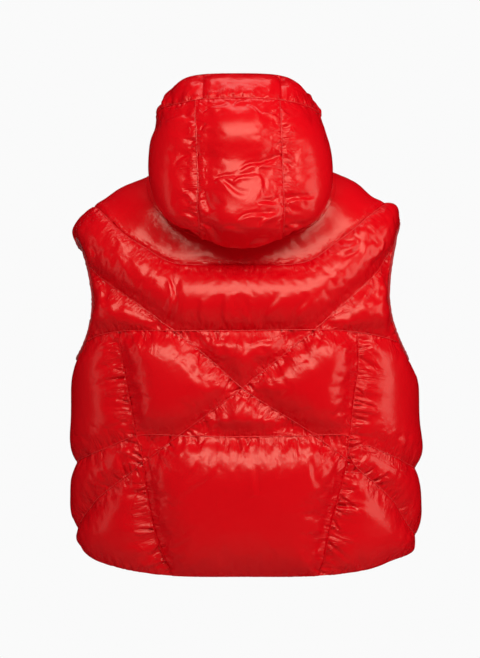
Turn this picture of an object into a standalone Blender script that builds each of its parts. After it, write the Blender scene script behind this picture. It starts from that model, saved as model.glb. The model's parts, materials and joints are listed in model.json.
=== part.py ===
"""Hooded down vest, cropped and sleeveless, filled out as when it is worn.

Every padded piece is a closed wall over a region of a smooth garment surface. Its inner face is
plain. Its outer face is quilted: it puffs up between the stitched lines and comes down to the bare
wall along them. Metres, +Z up, the front faces -Y. The origin lies between the shoulders.
"""
import math

import bmesh
import bpy
import numpy as np
from mathutils import Matrix, Vector
from mathutils.geometry import delaunay_2d_cdt

# Driving sizes, in metres
WALL = 0.004                 # cloth, flattened down and cloth, along a stitched line
SEAM_GAP = 0.0003            # between pieces that are sewn together
OUTER_STEP = 0.018           # spacing of the points on quilted faces
INNER_STEP = 0.042           # spacing of the points on plain faces
BODY_CROWN = 0.024           # height of the largest baffles over the stitched lines
YOKE_CROWN = 0.013
SIDE_CROWN = 0.014
FRONT_CROWN = 0.020
HOOD_CROWN = 0.015
BAND_CROWN = 0.013
PRESSED_TO = 0.60            # share of the way from neck seam to fold with no filling
FULL_FROM = 1.15             # share of the same way from which the filling is whole
FLAP_THICK = 0.0025
FLAP_GAP = 0.0008            # between the flap and the puffed yoke that it lies on
FLAP_STEP = 0.011            # spacing of its points, close enough to follow the yoke
BINDING_WIDE = 0.0055
BINDING_THICK = 0.0070
BINDING_GAP = 0.0004
BINDING_SIDES = 8
BAFFLE_RADIUS = 0.045        # distance from a line at which a baffle is fully round
BODY_SQUARENESS = 2.3        # exponent of the oval body sections, 2 is an ellipse
SHOULDER_ROLL = 0.055        # height over which the shoulders turn over
SHOULDER_SEAM_TURN = math.radians(125)   # the seam lies in front of the shoulder's top
NECK_REACH = 0.086           # half-width of the neck opening
BACK_NECK_HEIGHT = -0.028    # neck seam at the centre back
FRONT_NECK_HEIGHT = -0.062   # neck seam at the zip
ZIP_HALF = 0.0117            # from the centre line to the sewn edge of each front
ZIP_THICK = 0.0022
ZIP_SUNK = 0.0008            # of the tape's face under the stitched level
TAPE_INNER = 0.0010          # from the centre line to the tape's toothed edge
TAPE_OUTER = 0.0102
SLIDER_WIDTH = 0.009
SLIDER_DEEP = 0.0030
SLIDER_LONG = 0.011
PIVOT_OUT = 0.0031           # from the slider's face to the pull's pin
LUG_THICK = 0.0024
LUG_ROUND = 0.0023
PIN_RADIUS = 0.0008
PIN_PLAY = 0.0004
CHEEK_THICK = 0.0014
CHEEK_PLAY = 0.0004
CHEEK_OVER = 0.0014
PULL_LENGTH = 0.030
PULL_WIDTH = 0.008
PULL_THICK = 0.0016

# Horizontal body sections along the stitched lines.
# Columns: height, half-width on the left, half-width on the right, back depth, front depth
BODY_SECTIONS = (
    (-0.600, 0.239, 0.261, 0.124, 0.122),
    (-0.555, 0.246, 0.269, 0.130, 0.128),
    (-0.520, 0.254, 0.267, 0.134, 0.132),
    (-0.470, 0.251, 0.263, 0.138, 0.136),
    (-0.412, 0.255, 0.268, 0.141, 0.140),
    (-0.360, 0.250, 0.260, 0.141, 0.140),
    (-0.300, 0.250, 0.259, 0.140, 0.139),
    (-0.245, 0.253, 0.256, 0.139, 0.138),
    (-0.180, 0.249, 0.246, 0.136, 0.134),
    (-0.120, 0.254, 0.245, 0.125, 0.124),
    (-0.060, 0.261, 0.246, 0.105, 0.108),
    (0.000, 0.261, 0.248, 0.081, 0.090),
    (0.050, 0.261, 0.248, 0.060, 0.070),
)

# Top of the shoulders along the stitched level.
# Columns: distance from the centre line, height on the left, height on the right
SHOULDER_LINE = (
    (0.000, 0.036, 0.036),
    (0.086, 0.034, 0.034),
    (0.140, 0.010, 0.015),
    (0.200, -0.017, -0.012),
    (0.240, -0.053, -0.043),
    (0.262, -0.078, -0.066),
)

# Armhole edge, from the underarm up to the forward shoulder seam.
# Columns: height along the cloth, distance round the body from the side line
ARMHOLE_BACK = (
    (-0.266, 0.000),
    (-0.261, 0.028),
    (-0.247, 0.051),
    (-0.222, 0.068),
    (-0.180, 0.077),
    (-0.130, 0.073),
    (-0.080, 0.056),
    (-0.036, 0.038),
)
ARMHOLE_FRONT = (
    (-0.266, 0.000),
    (-0.261, 0.031),
    (-0.245, 0.056),
    (-0.218, 0.075),
    (-0.180, 0.086),
    (-0.140, 0.082),
    (-0.095, 0.056),
)
SHOULDER_END_REACH = 0.030   # of the shoulder seam's outer end from the side line

# Quilting and seams of the back, seen from behind.
# Columns: distance across from the centre line, to the left of it positive, and height
YOKE_LINE = (
    (0.2188, -0.0250),
    (0.1773, -0.0660),
    (0.1311, -0.0995),
    (0.1000, -0.1175),
    (0.0600, -0.1205),
    (0.0000, -0.1205),
    (-0.0600, -0.1205),
    (-0.0950, -0.1150),
    (-0.1267, -0.0930),
    (-0.1682, -0.0590),
    (-0.2084, -0.0247),
)
CHEST_LINE = (
    (0.2361, -0.2310),
    (0.1950, -0.2200),
    (0.1000, -0.2175),
    (0.0000, -0.2172),
    (-0.1000, -0.2160),
    (-0.1600, -0.2180),
    (-0.2323, -0.2317),
)
WAIST_LINE = (
    (0.2500, -0.4160),
    (0.2065, -0.3960),
    (0.1500, -0.3720),
    (0.0958, -0.3720),
    (0.0000, -0.3738),
    (-0.0973, -0.3720),
    (-0.1541, -0.3728),
    (-0.2081, -0.3990),
    (-0.2520, -0.4200),
)
CROSS_FROM_LEFT = (
    (0.2280, -0.1230),
    (0.1761, -0.1610),
    (0.1183, -0.2030),
    (0.0619, -0.2459),
    (0.0000, -0.3018),
    (-0.1017, -0.3691),
    (-0.1739, -0.4268),
    (-0.2082, -0.4570),
    (-0.2327, -0.4835),
    (-0.2480, -0.5080),
)
CROSS_FROM_RIGHT = (
    (-0.2240, -0.1000),
    (-0.1871, -0.1420),
    (-0.1364, -0.1883),
    (-0.0663, -0.2474),
    (0.0000, -0.3018),
    (0.0958, -0.3752),
    (0.1617, -0.4280),
    (0.2066, -0.4635),
    (0.2310, -0.4883),
    (0.2440, -0.5060),
)
PRINCESS_LEFT = (
    (0.1841, -0.2195),
    (0.1757, -0.2612),
    (0.1679, -0.3012),
    (0.1572, -0.3588),
    (0.1443, -0.4103),
    (0.1391, -0.4562),
    (0.1287, -0.5109),
    (0.1089, -0.5820),
)
PRINCESS_RIGHT = (
    (-0.1758, -0.2195),
    (-0.1704, -0.2752),
    (-0.1656, -0.3041),
    (-0.1587, -0.3589),
    (-0.1526, -0.4105),
    (-0.1391, -0.4695),
    (-0.1281, -0.5109),
    (-0.1172, -0.5820),
)
SIDE_ROWS = 5                # of each line above that are used for its stretch on a side panel
FRONT_SEAM_REACH = 0.110     # from the side line forward to the seam of side panel and front
FRONT_CHEST_HEIGHT = -0.232
FRONT_WAIST_HEIGHT = -0.400
FRONT_LOW_HEIGHT = -0.535
FRONT_LOW_REACH = 0.140      # from the side line to a point of the lowest line, past the seam
LINES_RUN_PAST = 0.020       # of the fronts' lines over the seam, so that they cross it
CROSSES_RUN_PAST = 0.030     # of the back's lines over the edge of their panel
FRONT_YOKE_HEIGHT = -0.140

# Hem, from the zip to the centre back on the left half; the right half mirrors it.
# Columns: distance round the body from the centre back, height
HEM_LINE = (
    (0.660, -0.556),
    (0.520, -0.556),
    (0.420, -0.552),
    (0.330, -0.549),
    (0.250, -0.565),
    (0.140, -0.580),
    (0.000, -0.582),
)

# Flap on the yoke, seen from behind. Columns: distance across from the centre line, height
FLAP_OUTER = (
    (0.1390, 0.0050),
    (0.1400, -0.0120),
    (0.1190, -0.0500),
    (0.0600, -0.0860),
    (0.0000, -0.0940),
    (-0.0600, -0.0860),
    (-0.1190, -0.0500),
    (-0.1370, -0.0120),
    (-0.1340, 0.0110),
)
FLAP_INNER = (
    (0.1180, 0.0080),
    (0.1120, -0.0180),
    (0.0900, -0.0430),
    (0.0450, -0.0640),
    (0.0000, -0.0700),
    (-0.0450, -0.0640),
    (-0.0900, -0.0430),
    (-0.1100, -0.0180),
    (-0.1150, 0.0110),
)

# Hood ribs on the left half; the right half mirrors them. A rib runs from the neck seam under
# the hood, round its fold and up over its back to the edge of the face opening.
# Each rib has seven points (across, depth behind, height), where it crosses in turn the
# underside, fold, low back, widest part, upper back, band seam and face edge.
HOOD_RIBS = {
    "centre back": ((0.000, 0.128, -0.028), (0.000, 0.160, -0.090), (0.000, 0.184, -0.062),
                    (0.000, 0.193, 0.000), (0.000, 0.179, 0.068), (0.000, 0.148, 0.120),
                    (0.000, 0.096, 0.168)),
    "centre seam": ((0.052, 0.120, -0.018), (0.058, 0.149, -0.078), (0.060, 0.171, -0.052),
                    (0.060, 0.179, 0.004), (0.060, 0.166, 0.068), (0.060, 0.137, 0.118),
                    (0.062, 0.086, 0.167)),
    "back of side": ((0.088, 0.096, 0.028), (0.110, 0.132, -0.040), (0.116, 0.136, -0.018),
                     (0.118, 0.129, 0.020), (0.113, 0.112, 0.068), (0.107, 0.083, 0.110),
                     (0.098, 0.044, 0.154)),
    "ear": ((0.097, 0.040, 0.056), (0.115, 0.080, 0.030), (0.122, 0.083, 0.034),
            (0.121, 0.076, 0.050), (0.119, 0.060, 0.077), (0.117, 0.036, 0.103),
            (0.108, -0.002, 0.136)),
    "front of side": ((0.092, -0.026, 0.054), (0.102, -0.018, 0.066), (0.110, -0.014, 0.074),
                      (0.115, -0.013, 0.080), (0.117, -0.015, 0.086), (0.117, -0.022, 0.094),
                      (0.109, -0.052, 0.113)),
    "cheek": ((0.068, -0.091, 0.002), (0.074, -0.095, 0.009), (0.079, -0.097, 0.016),
              (0.083, -0.099, 0.023), (0.086, -0.101, 0.030), (0.088, -0.103, 0.038),
              (0.084, -0.112, 0.074)),
    "chin": ((0.0125, -0.113, -0.051), (0.0125, -0.116, -0.045), (0.0125, -0.118, -0.039),
             (0.0125, -0.120, -0.033), (0.0125, -0.122, -0.027), (0.0125, -0.124, -0.020),
             (0.0125, -0.131, 0.032)),
}
# Where the ribs start on the neck seam, as shares of its length from centre back to zip
NECK_SHARES = (0.0, 0.16, 0.30, 0.46, 0.62, 0.80, 1.0)
FOLD_CROSSING = 2            # the crossings are counted from the neck seam as 0
BAND_CROSSING = 6
HOOD_SEWN_ABOVE = 0.0045     # of the hood's first edge over the body's cut neck edge
HOOD_LEAN = 0.036            # shift to the left for each metre up, over the back of the hood
LEAN_FROM = (0.0, -0.030)    # depth and height from which the hood leans
LEAN_DEEP = 0.10             # distance behind the first depth at which it leans fully

# Colours as linear RGB, roughness and metallic
SHELL_RED = ((0.578, 0.001, 0.005, 1.0), 0.34, 0.0)
TRIM_RED = ((0.420, 0.002, 0.006, 1.0), 0.60, 0.0)
ZIP_METAL = ((0.110, 0.105, 0.100, 1.0), 0.35, 1.0)


def clear_scene():
    """Remove everything that a new file starts with."""
    for old in list(bpy.data.objects):
        bpy.data.objects.remove(old)


def make_material(name, finish):
    """A plain Principled finish."""
    colour, roughness, metallic = finish
    material = bpy.data.materials.new(name)
    material.use_nodes = True
    shader = material.node_tree.nodes["Principled BSDF"]
    shader.inputs["Base Color"].default_value = colour
    shader.inputs["Roughness"].default_value = roughness
    shader.inputs["Metallic"].default_value = metallic
    material.diffuse_color = colour
    return material


# ---------------------------------------------------------------- curves and surfaces

def hermite(fraction, width, start, end, start_slope, end_slope):
    """Cubic between two values with given slopes."""
    square = fraction * fraction
    cube = square * fraction
    return ((2 * cube - 3 * square + 1) * start + (cube - 2 * square + fraction) * width * start_slope
            + (3 * square - 2 * cube) * end + (cube - square) * width * end_slope)


def spline(knots, rows, at):
    """Smooth curve through one row per knot, read at many places."""
    knots = np.asarray(knots, float)
    rows = np.asarray(rows, float)
    at = np.asarray(at, float)
    slopes = np.gradient(rows, knots, axis=0)
    span = np.clip(np.searchsorted(knots, at) - 1, 0, len(knots) - 2)
    width = knots[span + 1] - knots[span]
    fraction = (at - knots[span]) / width
    if rows.ndim > 1:
        width = width[:, None]
        fraction = fraction[:, None]
    return hermite(fraction, width, rows[span], rows[span + 1], slopes[span], slopes[span + 1])


def lengths_along(points):
    """Distance from the first point to each point of a line."""
    steps = np.linalg.norm(np.diff(points, axis=0), axis=1)
    return np.concatenate(([0.0], np.cumsum(steps)))


def curve_through(points, step):
    """Points at an even step along a smooth curve through the given ones."""
    points = np.asarray(points, float)
    fine = spline(lengths_along(points), points, np.linspace(0, lengths_along(points)[-1], 400))
    along = lengths_along(fine)
    count = max(2, int(round(along[-1] / step)) + 1)
    at = np.linspace(0, along[-1], count)
    return np.column_stack([np.interp(at, along, fine[:, axis]) for axis in range(fine.shape[1])])


def oval(turn):
    """Shares of half-width and depth on an oval section; turn is 0 at the back, 1 at the side."""
    power = 2 / BODY_SQUARENESS
    angle = np.asarray(turn) * math.pi / 2
    across = np.abs(np.sin(angle)) ** power
    depth = np.sign(np.cos(angle)) * np.abs(np.cos(angle)) ** power
    return across, depth


def girth_table():
    """Distance round a middle section for each turn from the back (0) to the front (2)."""
    turns = np.linspace(0, 2, 801)
    across, depth = oval(turns)
    points = np.column_stack((across * 0.252, depth * 0.138))
    return turns, lengths_along(points)


GIRTH_TURNS, GIRTH_LENGTHS = girth_table()
SIDE_LINE = float(np.interp(1.0, GIRTH_TURNS, GIRTH_LENGTHS))
FRONT_CENTRE = float(GIRTH_LENGTHS[-1])


def by_side(sign, left, right):
    """The left or the right value, by the sign of the side."""
    return np.where(sign >= 0, left, right)


def body_surface(chart):
    """Points of the body at stitched level.

    A chart point is the distance round the body from the centre back, positive to the left,
    and the height along the cloth, which goes on over the shoulder.
    """
    around, height = chart[:, 0], chart[:, 1]
    sign = np.where(around >= 0, 1.0, -1.0)
    across_share, depth_share = oval(np.interp(np.abs(around), GIRTH_LENGTHS, GIRTH_TURNS))
    sections = np.array(BODY_SECTIONS)
    shoulders = np.array(SHOULDER_LINE)

    def section_at(level):
        return spline(sections[:, 0], sections[:, 1:], np.clip(level, -0.64, 0.05))

    top = section_at(np.zeros_like(height))
    reach = by_side(sign, top[:, 0], top[:, 1]) * across_share
    ridges = spline(shoulders[:, 0], shoulders[:, 1:], reach)
    start = by_side(sign, ridges[:, 0], ridges[:, 1]) - SHOULDER_ROLL
    roll = np.clip((height - start) / SHOULDER_ROLL, 0, math.pi)
    level = np.where(height < start, height, start + SHOULDER_ROLL * np.sin(roll))
    here = section_at(level)
    x = sign * by_side(sign, here[:, 0], here[:, 1]) * across_share
    behind = (depth_share * np.cos(roll)) >= 0
    y = np.where(behind, here[:, 2], here[:, 3]) * depth_share * np.cos(roll)
    return np.column_stack((x, y, level))


def shoulder_seam(side, from_back):
    """Forward shoulder seam from the neck to the armhole, in the back's or the front's chart."""
    shoulders = np.array(SHOULDER_LINE)
    inner_turn = np.arcsin((NECK_REACH / 0.2465) ** (BODY_SQUARENESS / 2)) / (math.pi / 2)
    inner = float(np.interp(inner_turn, GIRTH_TURNS, GIRTH_LENGTHS))
    around = np.linspace(inner, SIDE_LINE - SHOULDER_END_REACH, 10)
    top = by_side(side, BODY_SECTIONS[-2][1], BODY_SECTIONS[-2][2])
    across, _ = oval(np.interp(around, GIRTH_LENGTHS, GIRTH_TURNS))
    ridges = spline(shoulders[:, 0], shoulders[:, 1:], across * top)
    start = by_side(side, ridges[:, 0], ridges[:, 1]) - SHOULDER_ROLL
    roll = SHOULDER_SEAM_TURN if from_back else math.pi - SHOULDER_SEAM_TURN
    if not from_back:
        around = 2 * SIDE_LINE - around
    return np.column_stack((side * around, start + SHOULDER_ROLL * roll))


def neck_seam(side, from_back):
    """Neck edge in the body's chart, from its middle out to the shoulder seam."""
    end_around, end_height = shoulder_seam(side, from_back)[0]
    middle = BACK_NECK_HEIGHT if from_back else FRONT_NECK_HEIGHT
    centre = 0.0 if from_back else FRONT_CENTRE
    share = np.sin(np.linspace(0, math.pi / 2, 40))
    around = centre + (abs(end_around) - centre) * share
    height = middle + (end_height - middle) * (1 - np.sqrt(1 - share ** 2))
    line = np.column_stack((around, height))
    if not from_back:
        line = line[line[:, 0] < FRONT_CENTRE - ZIP_HALF - 0.002]
        line = np.vstack(((FRONT_CENTRE - ZIP_HALF, middle), line))
    return curve_through(line, OUTER_STEP) * (side, 1)


def hood_ribs(side):
    """Control points of the ribs of one half, from the centre back to the chin."""
    back = neck_seam(side, True)
    front = neck_seam(side, False)[::-1]
    seam = np.vstack((body_surface(back + (0, HOOD_SEWN_ABOVE)),
                      body_surface(front + (0, HOOD_SEWN_ABOVE))[1:]))
    along = lengths_along(seam)
    starts = spline(along, seam, np.array(NECK_SHARES) * along[-1])
    starts[0, 0] = 0.0
    ribs = np.array(list(HOOD_RIBS.values())) * (side, 1, 1)
    deep = np.clip((ribs[:, :, 1] - LEAN_FROM[0]) / LEAN_DEEP + 0.5, 0, 1)
    ribs[:, :, 0] += HOOD_LEAN * deep * np.maximum(ribs[:, :, 2] - LEAN_FROM[1], 0)
    return np.concatenate((starts[:, None, :], ribs), axis=1)


HOOD_NET = np.concatenate((hood_ribs(-1)[:0:-1], hood_ribs(1)))
HOOD_RIB_AT = lengths_along(HOOD_NET[:, 4, :] * 0.9)
HOOD_RIB_AT -= HOOD_RIB_AT[-1] / 2
HOOD_RIB_LENGTH = np.array([lengths_along(rib)[-1] for rib in HOOD_NET])


def rib_length(along):
    """Cloth length from the neck seam to the face edge at a place along the hood."""
    return spline(HOOD_RIB_AT, HOOD_RIB_LENGTH, along)


def hood_surface(chart):
    """Points of the hood at stitched level.

    A chart point is the distance along the hood from its centre back, positive to the left,
    and the length of cloth up from the neck seam.
    """
    along, up = chart[:, 0], chart[:, 1]
    share = up / rib_length(along)
    ribs = []
    for rib in HOOD_NET:
        knots = lengths_along(rib)
        ribs.append(spline(knots / knots[-1], rib, share))
    ribs = np.array(ribs)
    slopes = np.gradient(ribs, HOOD_RIB_AT, axis=0)
    span = np.clip(np.searchsorted(HOOD_RIB_AT, along) - 1, 0, len(HOOD_RIB_AT) - 2)
    width = (HOOD_RIB_AT[span + 1] - HOOD_RIB_AT[span])[:, None]
    fraction = ((along - HOOD_RIB_AT[span]) / width[:, 0])[:, None]
    each = np.arange(len(along))
    return hermite(fraction, width, ribs[span, each], ribs[span + 1, each],
                   slopes[span, each], slopes[span + 1, each])


def outward(surface, chart):
    """Unit normals of a surface, away from the inside of the garment."""
    tiny = 0.0008
    right = surface(chart + (tiny, 0)) - surface(chart - (tiny, 0))
    up = surface(chart + (0, tiny)) - surface(chart - (0, tiny))
    normal = np.cross(up, right)
    return normal / np.linalg.norm(normal, axis=1)[:, None]


def from_behind(rows):
    """Chart points of places on the back that are given across and by height."""
    rows = np.asarray(rows, float)
    sections = np.array(BODY_SECTIONS)
    shoulders = np.array(SHOULDER_LINE)
    sign = np.where(rows[:, 0] >= 0, 1.0, -1.0)
    reach = np.abs(rows[:, 0])
    here = spline(sections[:, 0], sections[:, 1:], rows[:, 1])
    share = np.clip(reach / by_side(sign, here[:, 0], here[:, 1]), 0, 0.9999)
    turn = np.arcsin(share ** (BODY_SQUARENESS / 2)) / (math.pi / 2)
    around = np.interp(turn, GIRTH_TURNS, GIRTH_LENGTHS)
    ridges = spline(shoulders[:, 0], shoulders[:, 1:], reach)
    start = by_side(sign, ridges[:, 0], ridges[:, 1]) - SHOULDER_ROLL
    over = np.clip((rows[:, 1] - start) / SHOULDER_ROLL, 0, 1)
    height = np.where(rows[:, 1] < start, rows[:, 1], start + SHOULDER_ROLL * np.arcsin(over))
    return np.column_stack((sign * around, height))


# ---------------------------------------------------------------- padded pieces

def nearest_distance(points, lines):
    """Soft distance in space from each point to several stitched lines."""
    total = np.zeros(len(points))
    for line in lines:
        best = np.full(len(points), 1e9)
        for start, end in zip(line[:-1], line[1:]):
            way = end - start
            share = np.clip((points - start) @ way / max(way @ way, 1e-12), 0, 1)
            best = np.minimum(best, np.linalg.norm(points - start - share[:, None] * way, axis=1))
        total += np.maximum(best, 1e-5) ** -4.0
    return total ** -0.25


def baffle_height(distance, crown):
    """Height of the filled cloth at a distance from the stitched lines."""
    share = np.clip(distance / BAFFLE_RADIUS, 0, 1)
    return crown * (1 - (1 - share) ** 2) ** 0.75


def inset(outline, amount):
    """A closed outline moved inwards, with its points kept in number."""
    ahead = np.roll(outline, -1, axis=0) - outline
    behind = outline - np.roll(outline, 1, axis=0)
    ahead /= np.linalg.norm(ahead, axis=1)[:, None]
    behind /= np.linalg.norm(behind, axis=1)[:, None]
    turned_in = np.column_stack((-ahead[:, 1] - behind[:, 1], ahead[:, 0] + behind[:, 0]))
    size = np.maximum((turned_in ** 2).sum(axis=1) / 2, 0.35)
    return outline + turned_in * (amount / size)[:, None]


def closed_outline(edges):
    """One counter-clockwise outline from seams that follow each other end to end."""
    points = []
    for edge in edges:
        points.extend(edge[:-1])
    points = np.array(points)
    following = np.roll(points, -1, axis=0)
    doubled_area = (points[:, 0] * following[:, 1] - following[:, 0] * points[:, 1]).sum()
    return points if doubled_area > 0 else points[::-1]


def inside(points, outline):
    """Which points lie inside a closed outline."""
    hits = np.zeros(len(points), bool)
    for start, end in zip(outline, np.roll(outline, -1, axis=0)):
        if start[1] == end[1]:
            continue
        crosses = (points[:, 1] < start[1]) != (points[:, 1] < end[1])
        at = start[0] + (points[:, 1] - start[1]) * (end[0] - start[0]) / (end[1] - start[1])
        hits ^= crosses & (points[:, 0] < at)
    return hits


def flat_distance(points, line):
    """Distance from each chart point to a chart line."""
    flat = np.column_stack((points, np.zeros(len(points))))
    return nearest_distance(flat, [np.column_stack((line, np.zeros(len(line))))])


def lattice(outline, lines, step):
    """Evenly packed chart points inside an outline, clear of it and of the lines."""
    low, high = outline.min(axis=0), outline.max(axis=0)
    rows = np.arange(low[1], high[1], step * math.sqrt(3) / 2)
    points = []
    for number, row in enumerate(rows):
        shift = step / 2 if number % 2 else 0.0
        points.extend((column, row) for column in np.arange(low[0] + shift, high[0], step))
    points = np.array(points)
    points = points[inside(points, outline)]
    clear = flat_distance(points, np.vstack((outline, outline[:1]))) > 0.62 * step
    for line in lines:
        clear &= flat_distance(points, line) > 0.55 * step
    return points[clear]


def triangulate(outline, lines, points):
    """Triangles inside an outline that keep its edges and the given lines."""
    verts = [Vector(place) for place in outline]
    edges = []
    for line in lines:
        first = len(verts)
        verts.extend(Vector(place) for place in line)
        edges.extend((first + k, first + k + 1) for k in range(len(line) - 1))
    verts.extend(Vector(place) for place in points)
    ring = [tuple(range(len(outline)))]
    places, _, faces, *_ = delaunay_2d_cdt(verts, edges, ring, 0, 1e-6)
    places = np.array([tuple(place) for place in places])
    kept = inside(places[np.array(faces)].mean(axis=1), outline)
    faces = [face for face, keep in zip(faces, kept) if keep]
    used = sorted({corner for face in faces for corner in face})
    renumber = {old: new for new, old in enumerate(used)}
    return places[used], [tuple(renumber[corner] for corner in face) for face in faces]


def rim_of(faces):
    """The boundary corners of a set of triangles, in order."""
    directed = {(face[k], face[(k + 1) % 3]) for face in faces for k in range(3)}
    following = {start: end for start, end in directed if (end, start) not in directed}
    first = min(following)
    rim = [first]
    while following[rim[-1]] != first:
        rim.append(following[rim[-1]])
    return rim


def wall_mesh(name, outer, outer_faces, inner, inner_faces, outer_rim, inner_rim, places):
    """A closed wall from two faces over the same rim.

    Two pieces that share a seam split its narrow edge faces along the same diagonals, so that
    they stay apart where the seam twists.
    """
    order = places @ (1.0, 0.618, 0.381)
    shift = len(outer)
    faces = [face[::-1] for face in outer_faces]
    faces += [tuple(corner + shift for corner in face) for face in inner_faces]
    for k, start in enumerate(outer_rim):
        end = (k + 1) % len(outer_rim)
        corners = (start, outer_rim[end], inner_rim[end] + shift, inner_rim[k] + shift)
        if order[k] < order[end]:
            faces.extend((corners[:3], (corners[0], corners[2], corners[3])))
        else:
            faces.extend((corners[1:], (corners[0], corners[1], corners[3])))
    mesh = bpy.data.meshes.new(name)
    mesh.from_pydata([tuple(place) for place in np.vstack((outer, inner))], [], faces)
    mesh.validate()
    mesh.shade_smooth()
    mesh.set_sharp_from_angle(angle=math.radians(50))
    return mesh


def padded_piece(name, surface, edges, quilting, crown, material,
                 ease=None, lift=None, wall=WALL, steps=(OUTER_STEP, INNER_STEP)):
    """One sewn piece: quilted outside, plain inside, closed round its edge.

    ease gives a share of the crown, and lift a height over the surface, at chart points.
    """
    outline = inset(closed_outline(edges), SEAM_GAP * 0.6)
    outer_chart, outer_faces = triangulate(outline, quilting, lattice(outline, quilting, steps[0]))
    rim = rim_of(outer_faces)
    rim_chart = outer_chart[rim]
    inner_chart, inner_faces = triangulate(rim_chart, [], lattice(rim_chart, [], steps[1]))
    inner_rim = [int(np.argmin(((inner_chart - place) ** 2).sum(axis=1))) for place in rim_chart]
    outer = surface(outer_chart)
    stitched = [surface(np.vstack((rim_chart, rim_chart[:1])))]
    stitched += [surface(line) for line in quilting]
    puff = baffle_height(nearest_distance(outer, stitched), crown)
    if ease:
        puff *= ease(outer_chart)
    under = -wall
    if lift:
        puff = lift(outer_chart)
        under = lift(inner_chart)[:, None] - wall
    outer = outer + outward(surface, outer_chart) * puff[:, None]
    inner = surface(inner_chart) + outward(surface, inner_chart) * under
    mesh = wall_mesh(name, outer, outer_faces, inner, inner_faces, rim, inner_rim,
                     surface(rim_chart))
    return add_part(name, mesh, material)


def add_part(name, mesh, material):
    """Put a mesh in the vest's collection as a named part."""
    part = bpy.data.objects.new(name, mesh)
    part.data.materials.append(material)
    vest.objects.link(part)
    return part


# ---------------------------------------------------------------- seams of the body

def armhole(side, direction):
    """Armhole edge from the underarm to the shoulder seam, towards the back or the front."""
    rows = np.array(ARMHOLE_BACK if direction < 0 else ARMHOLE_FRONT)
    around = SIDE_LINE + direction * rows[:, 1]
    line = np.column_stack((side * around, rows[:, 0]))
    end = shoulder_seam(side, direction < 0)[-1]
    return curve_through(np.vstack((line, end)), OUTER_STEP)


def split_at(line, axis, value):
    """Two parts of a line that share its point nearest to a value."""
    cut = 1 + int(np.argmin(np.abs(line[1:-1, axis] - value)))
    return line[:cut + 1], line[cut:]


def joined(*lines):
    """One line from several that follow each other end to end."""
    points = [lines[0]]
    points += [line[1:] for line in lines[1:]]
    return np.vstack(points)


def stretched(line, amount):
    """A line lengthened past both its ends, so that it crosses the edge of its piece."""
    first = line[0] + (line[0] - line[1]) / np.linalg.norm(line[0] - line[1]) * amount
    last = line[-1] + (line[-1] - line[-2]) / np.linalg.norm(line[-1] - line[-2]) * amount
    return np.vstack((first, line, last))


def level_line(start, end):
    """A straight stitched line between two chart points."""
    return curve_through(np.array((start, end), float), OUTER_STEP)


def seam_between(start, rows, end):
    """A seam of the back through given places, from one chart point to another."""
    return curve_through(np.vstack((start, from_behind(rows), end)), OUTER_STEP)


def body_seams():
    """All seam lines of the body, in its chart."""
    seams = {}
    for side, name in ((1, "left"), (-1, "right")):
        low, high = split_at(armhole(side, -1), 1, CHEST_LINE[0][1])
        seams["armhole low back " + name] = low
        seams["armhole high back " + name] = high
        low, high = split_at(armhole(side, 1), 1, FRONT_CHEST_HEIGHT)
        seams["armhole low front " + name] = low
        seams["armhole high front " + name] = high
        seams["neck back " + name] = neck_seam(side, True)
        seams["neck front " + name] = neck_seam(side, False)
        yoke_end = from_behind(YOKE_LINE[:1] if side > 0 else YOKE_LINE[-1:])[0]
        inner, outer = split_at(shoulder_seam(side, True), 0, yoke_end[0])
        seams["shoulder of yoke " + name] = inner
        seams["shoulder of upper back " + name] = outer
        seams["shoulder of front " + name] = shoulder_seam(side, False)
        seam_top = (side * (SIDE_LINE + FRONT_SEAM_REACH), FRONT_CHEST_HEIGHT)
        seams["front chest " + name] = level_line(low[-1], seam_top)
    seams["yoke"] = seam_between(seams["shoulder of yoke left"][-1], YOKE_LINE,
                                 seams["shoulder of yoke right"][-1])
    chest = seam_between(seams["armhole low back left"][-1], CHEST_LINE[1:-1],
                         seams["armhole low back right"][-1])
    outer, rest = split_at(chest, 0, from_behind(PRINCESS_LEFT[:1])[0][0])
    seams["chest left"] = outer
    seams["chest middle"], seams["chest right"] = split_at(
        rest, 0, from_behind(PRINCESS_RIGHT[:1])[0][0])
    hem = np.array(HEM_LINE + tuple((-around, height) for around, height in HEM_LINE[-2::-1]))
    rest = curve_through(np.vstack(((FRONT_CENTRE - ZIP_HALF, hem[0][1]), hem[1:-1],
                                    (ZIP_HALF - FRONT_CENTRE, hem[0][1]))), OUTER_STEP)
    cuts = (SIDE_LINE + FRONT_SEAM_REACH, from_behind(PRINCESS_LEFT[-1:])[0][0],
            from_behind(PRINCESS_RIGHT[-1:])[0][0], -SIDE_LINE - FRONT_SEAM_REACH)
    for name, cut in zip(("front left", "side left", "middle", "side right"), cuts):
        seams["hem " + name], rest = split_at(rest, 0, cut)
    seams["hem front right"] = rest
    seams["princess left"] = seam_between(seams["chest left"][-1], PRINCESS_LEFT[1:-1],
                                          seams["hem side left"][-1])
    seams["princess right"] = seam_between(seams["chest right"][0], PRINCESS_RIGHT[1:-1],
                                           seams["hem side right"][0])
    for name, side in (("left", 1), ("right", -1)):
        foot = seams["hem front left"][-1] if side > 0 else seams["hem front right"][0]
        edge = seams["hem front left"][0] if side > 0 else seams["hem front right"][-1]
        seams["front seam " + name] = level_line(seams["front chest " + name][-1], foot)
        seams["zip edge " + name] = level_line(edge, seams["neck front " + name][0])
    return seams


def facing_side(name, line):
    """Long lines run from left to right; turn a stretch of one to run towards the back's middle."""
    return line if name == "left" else line[::-1]


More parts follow.
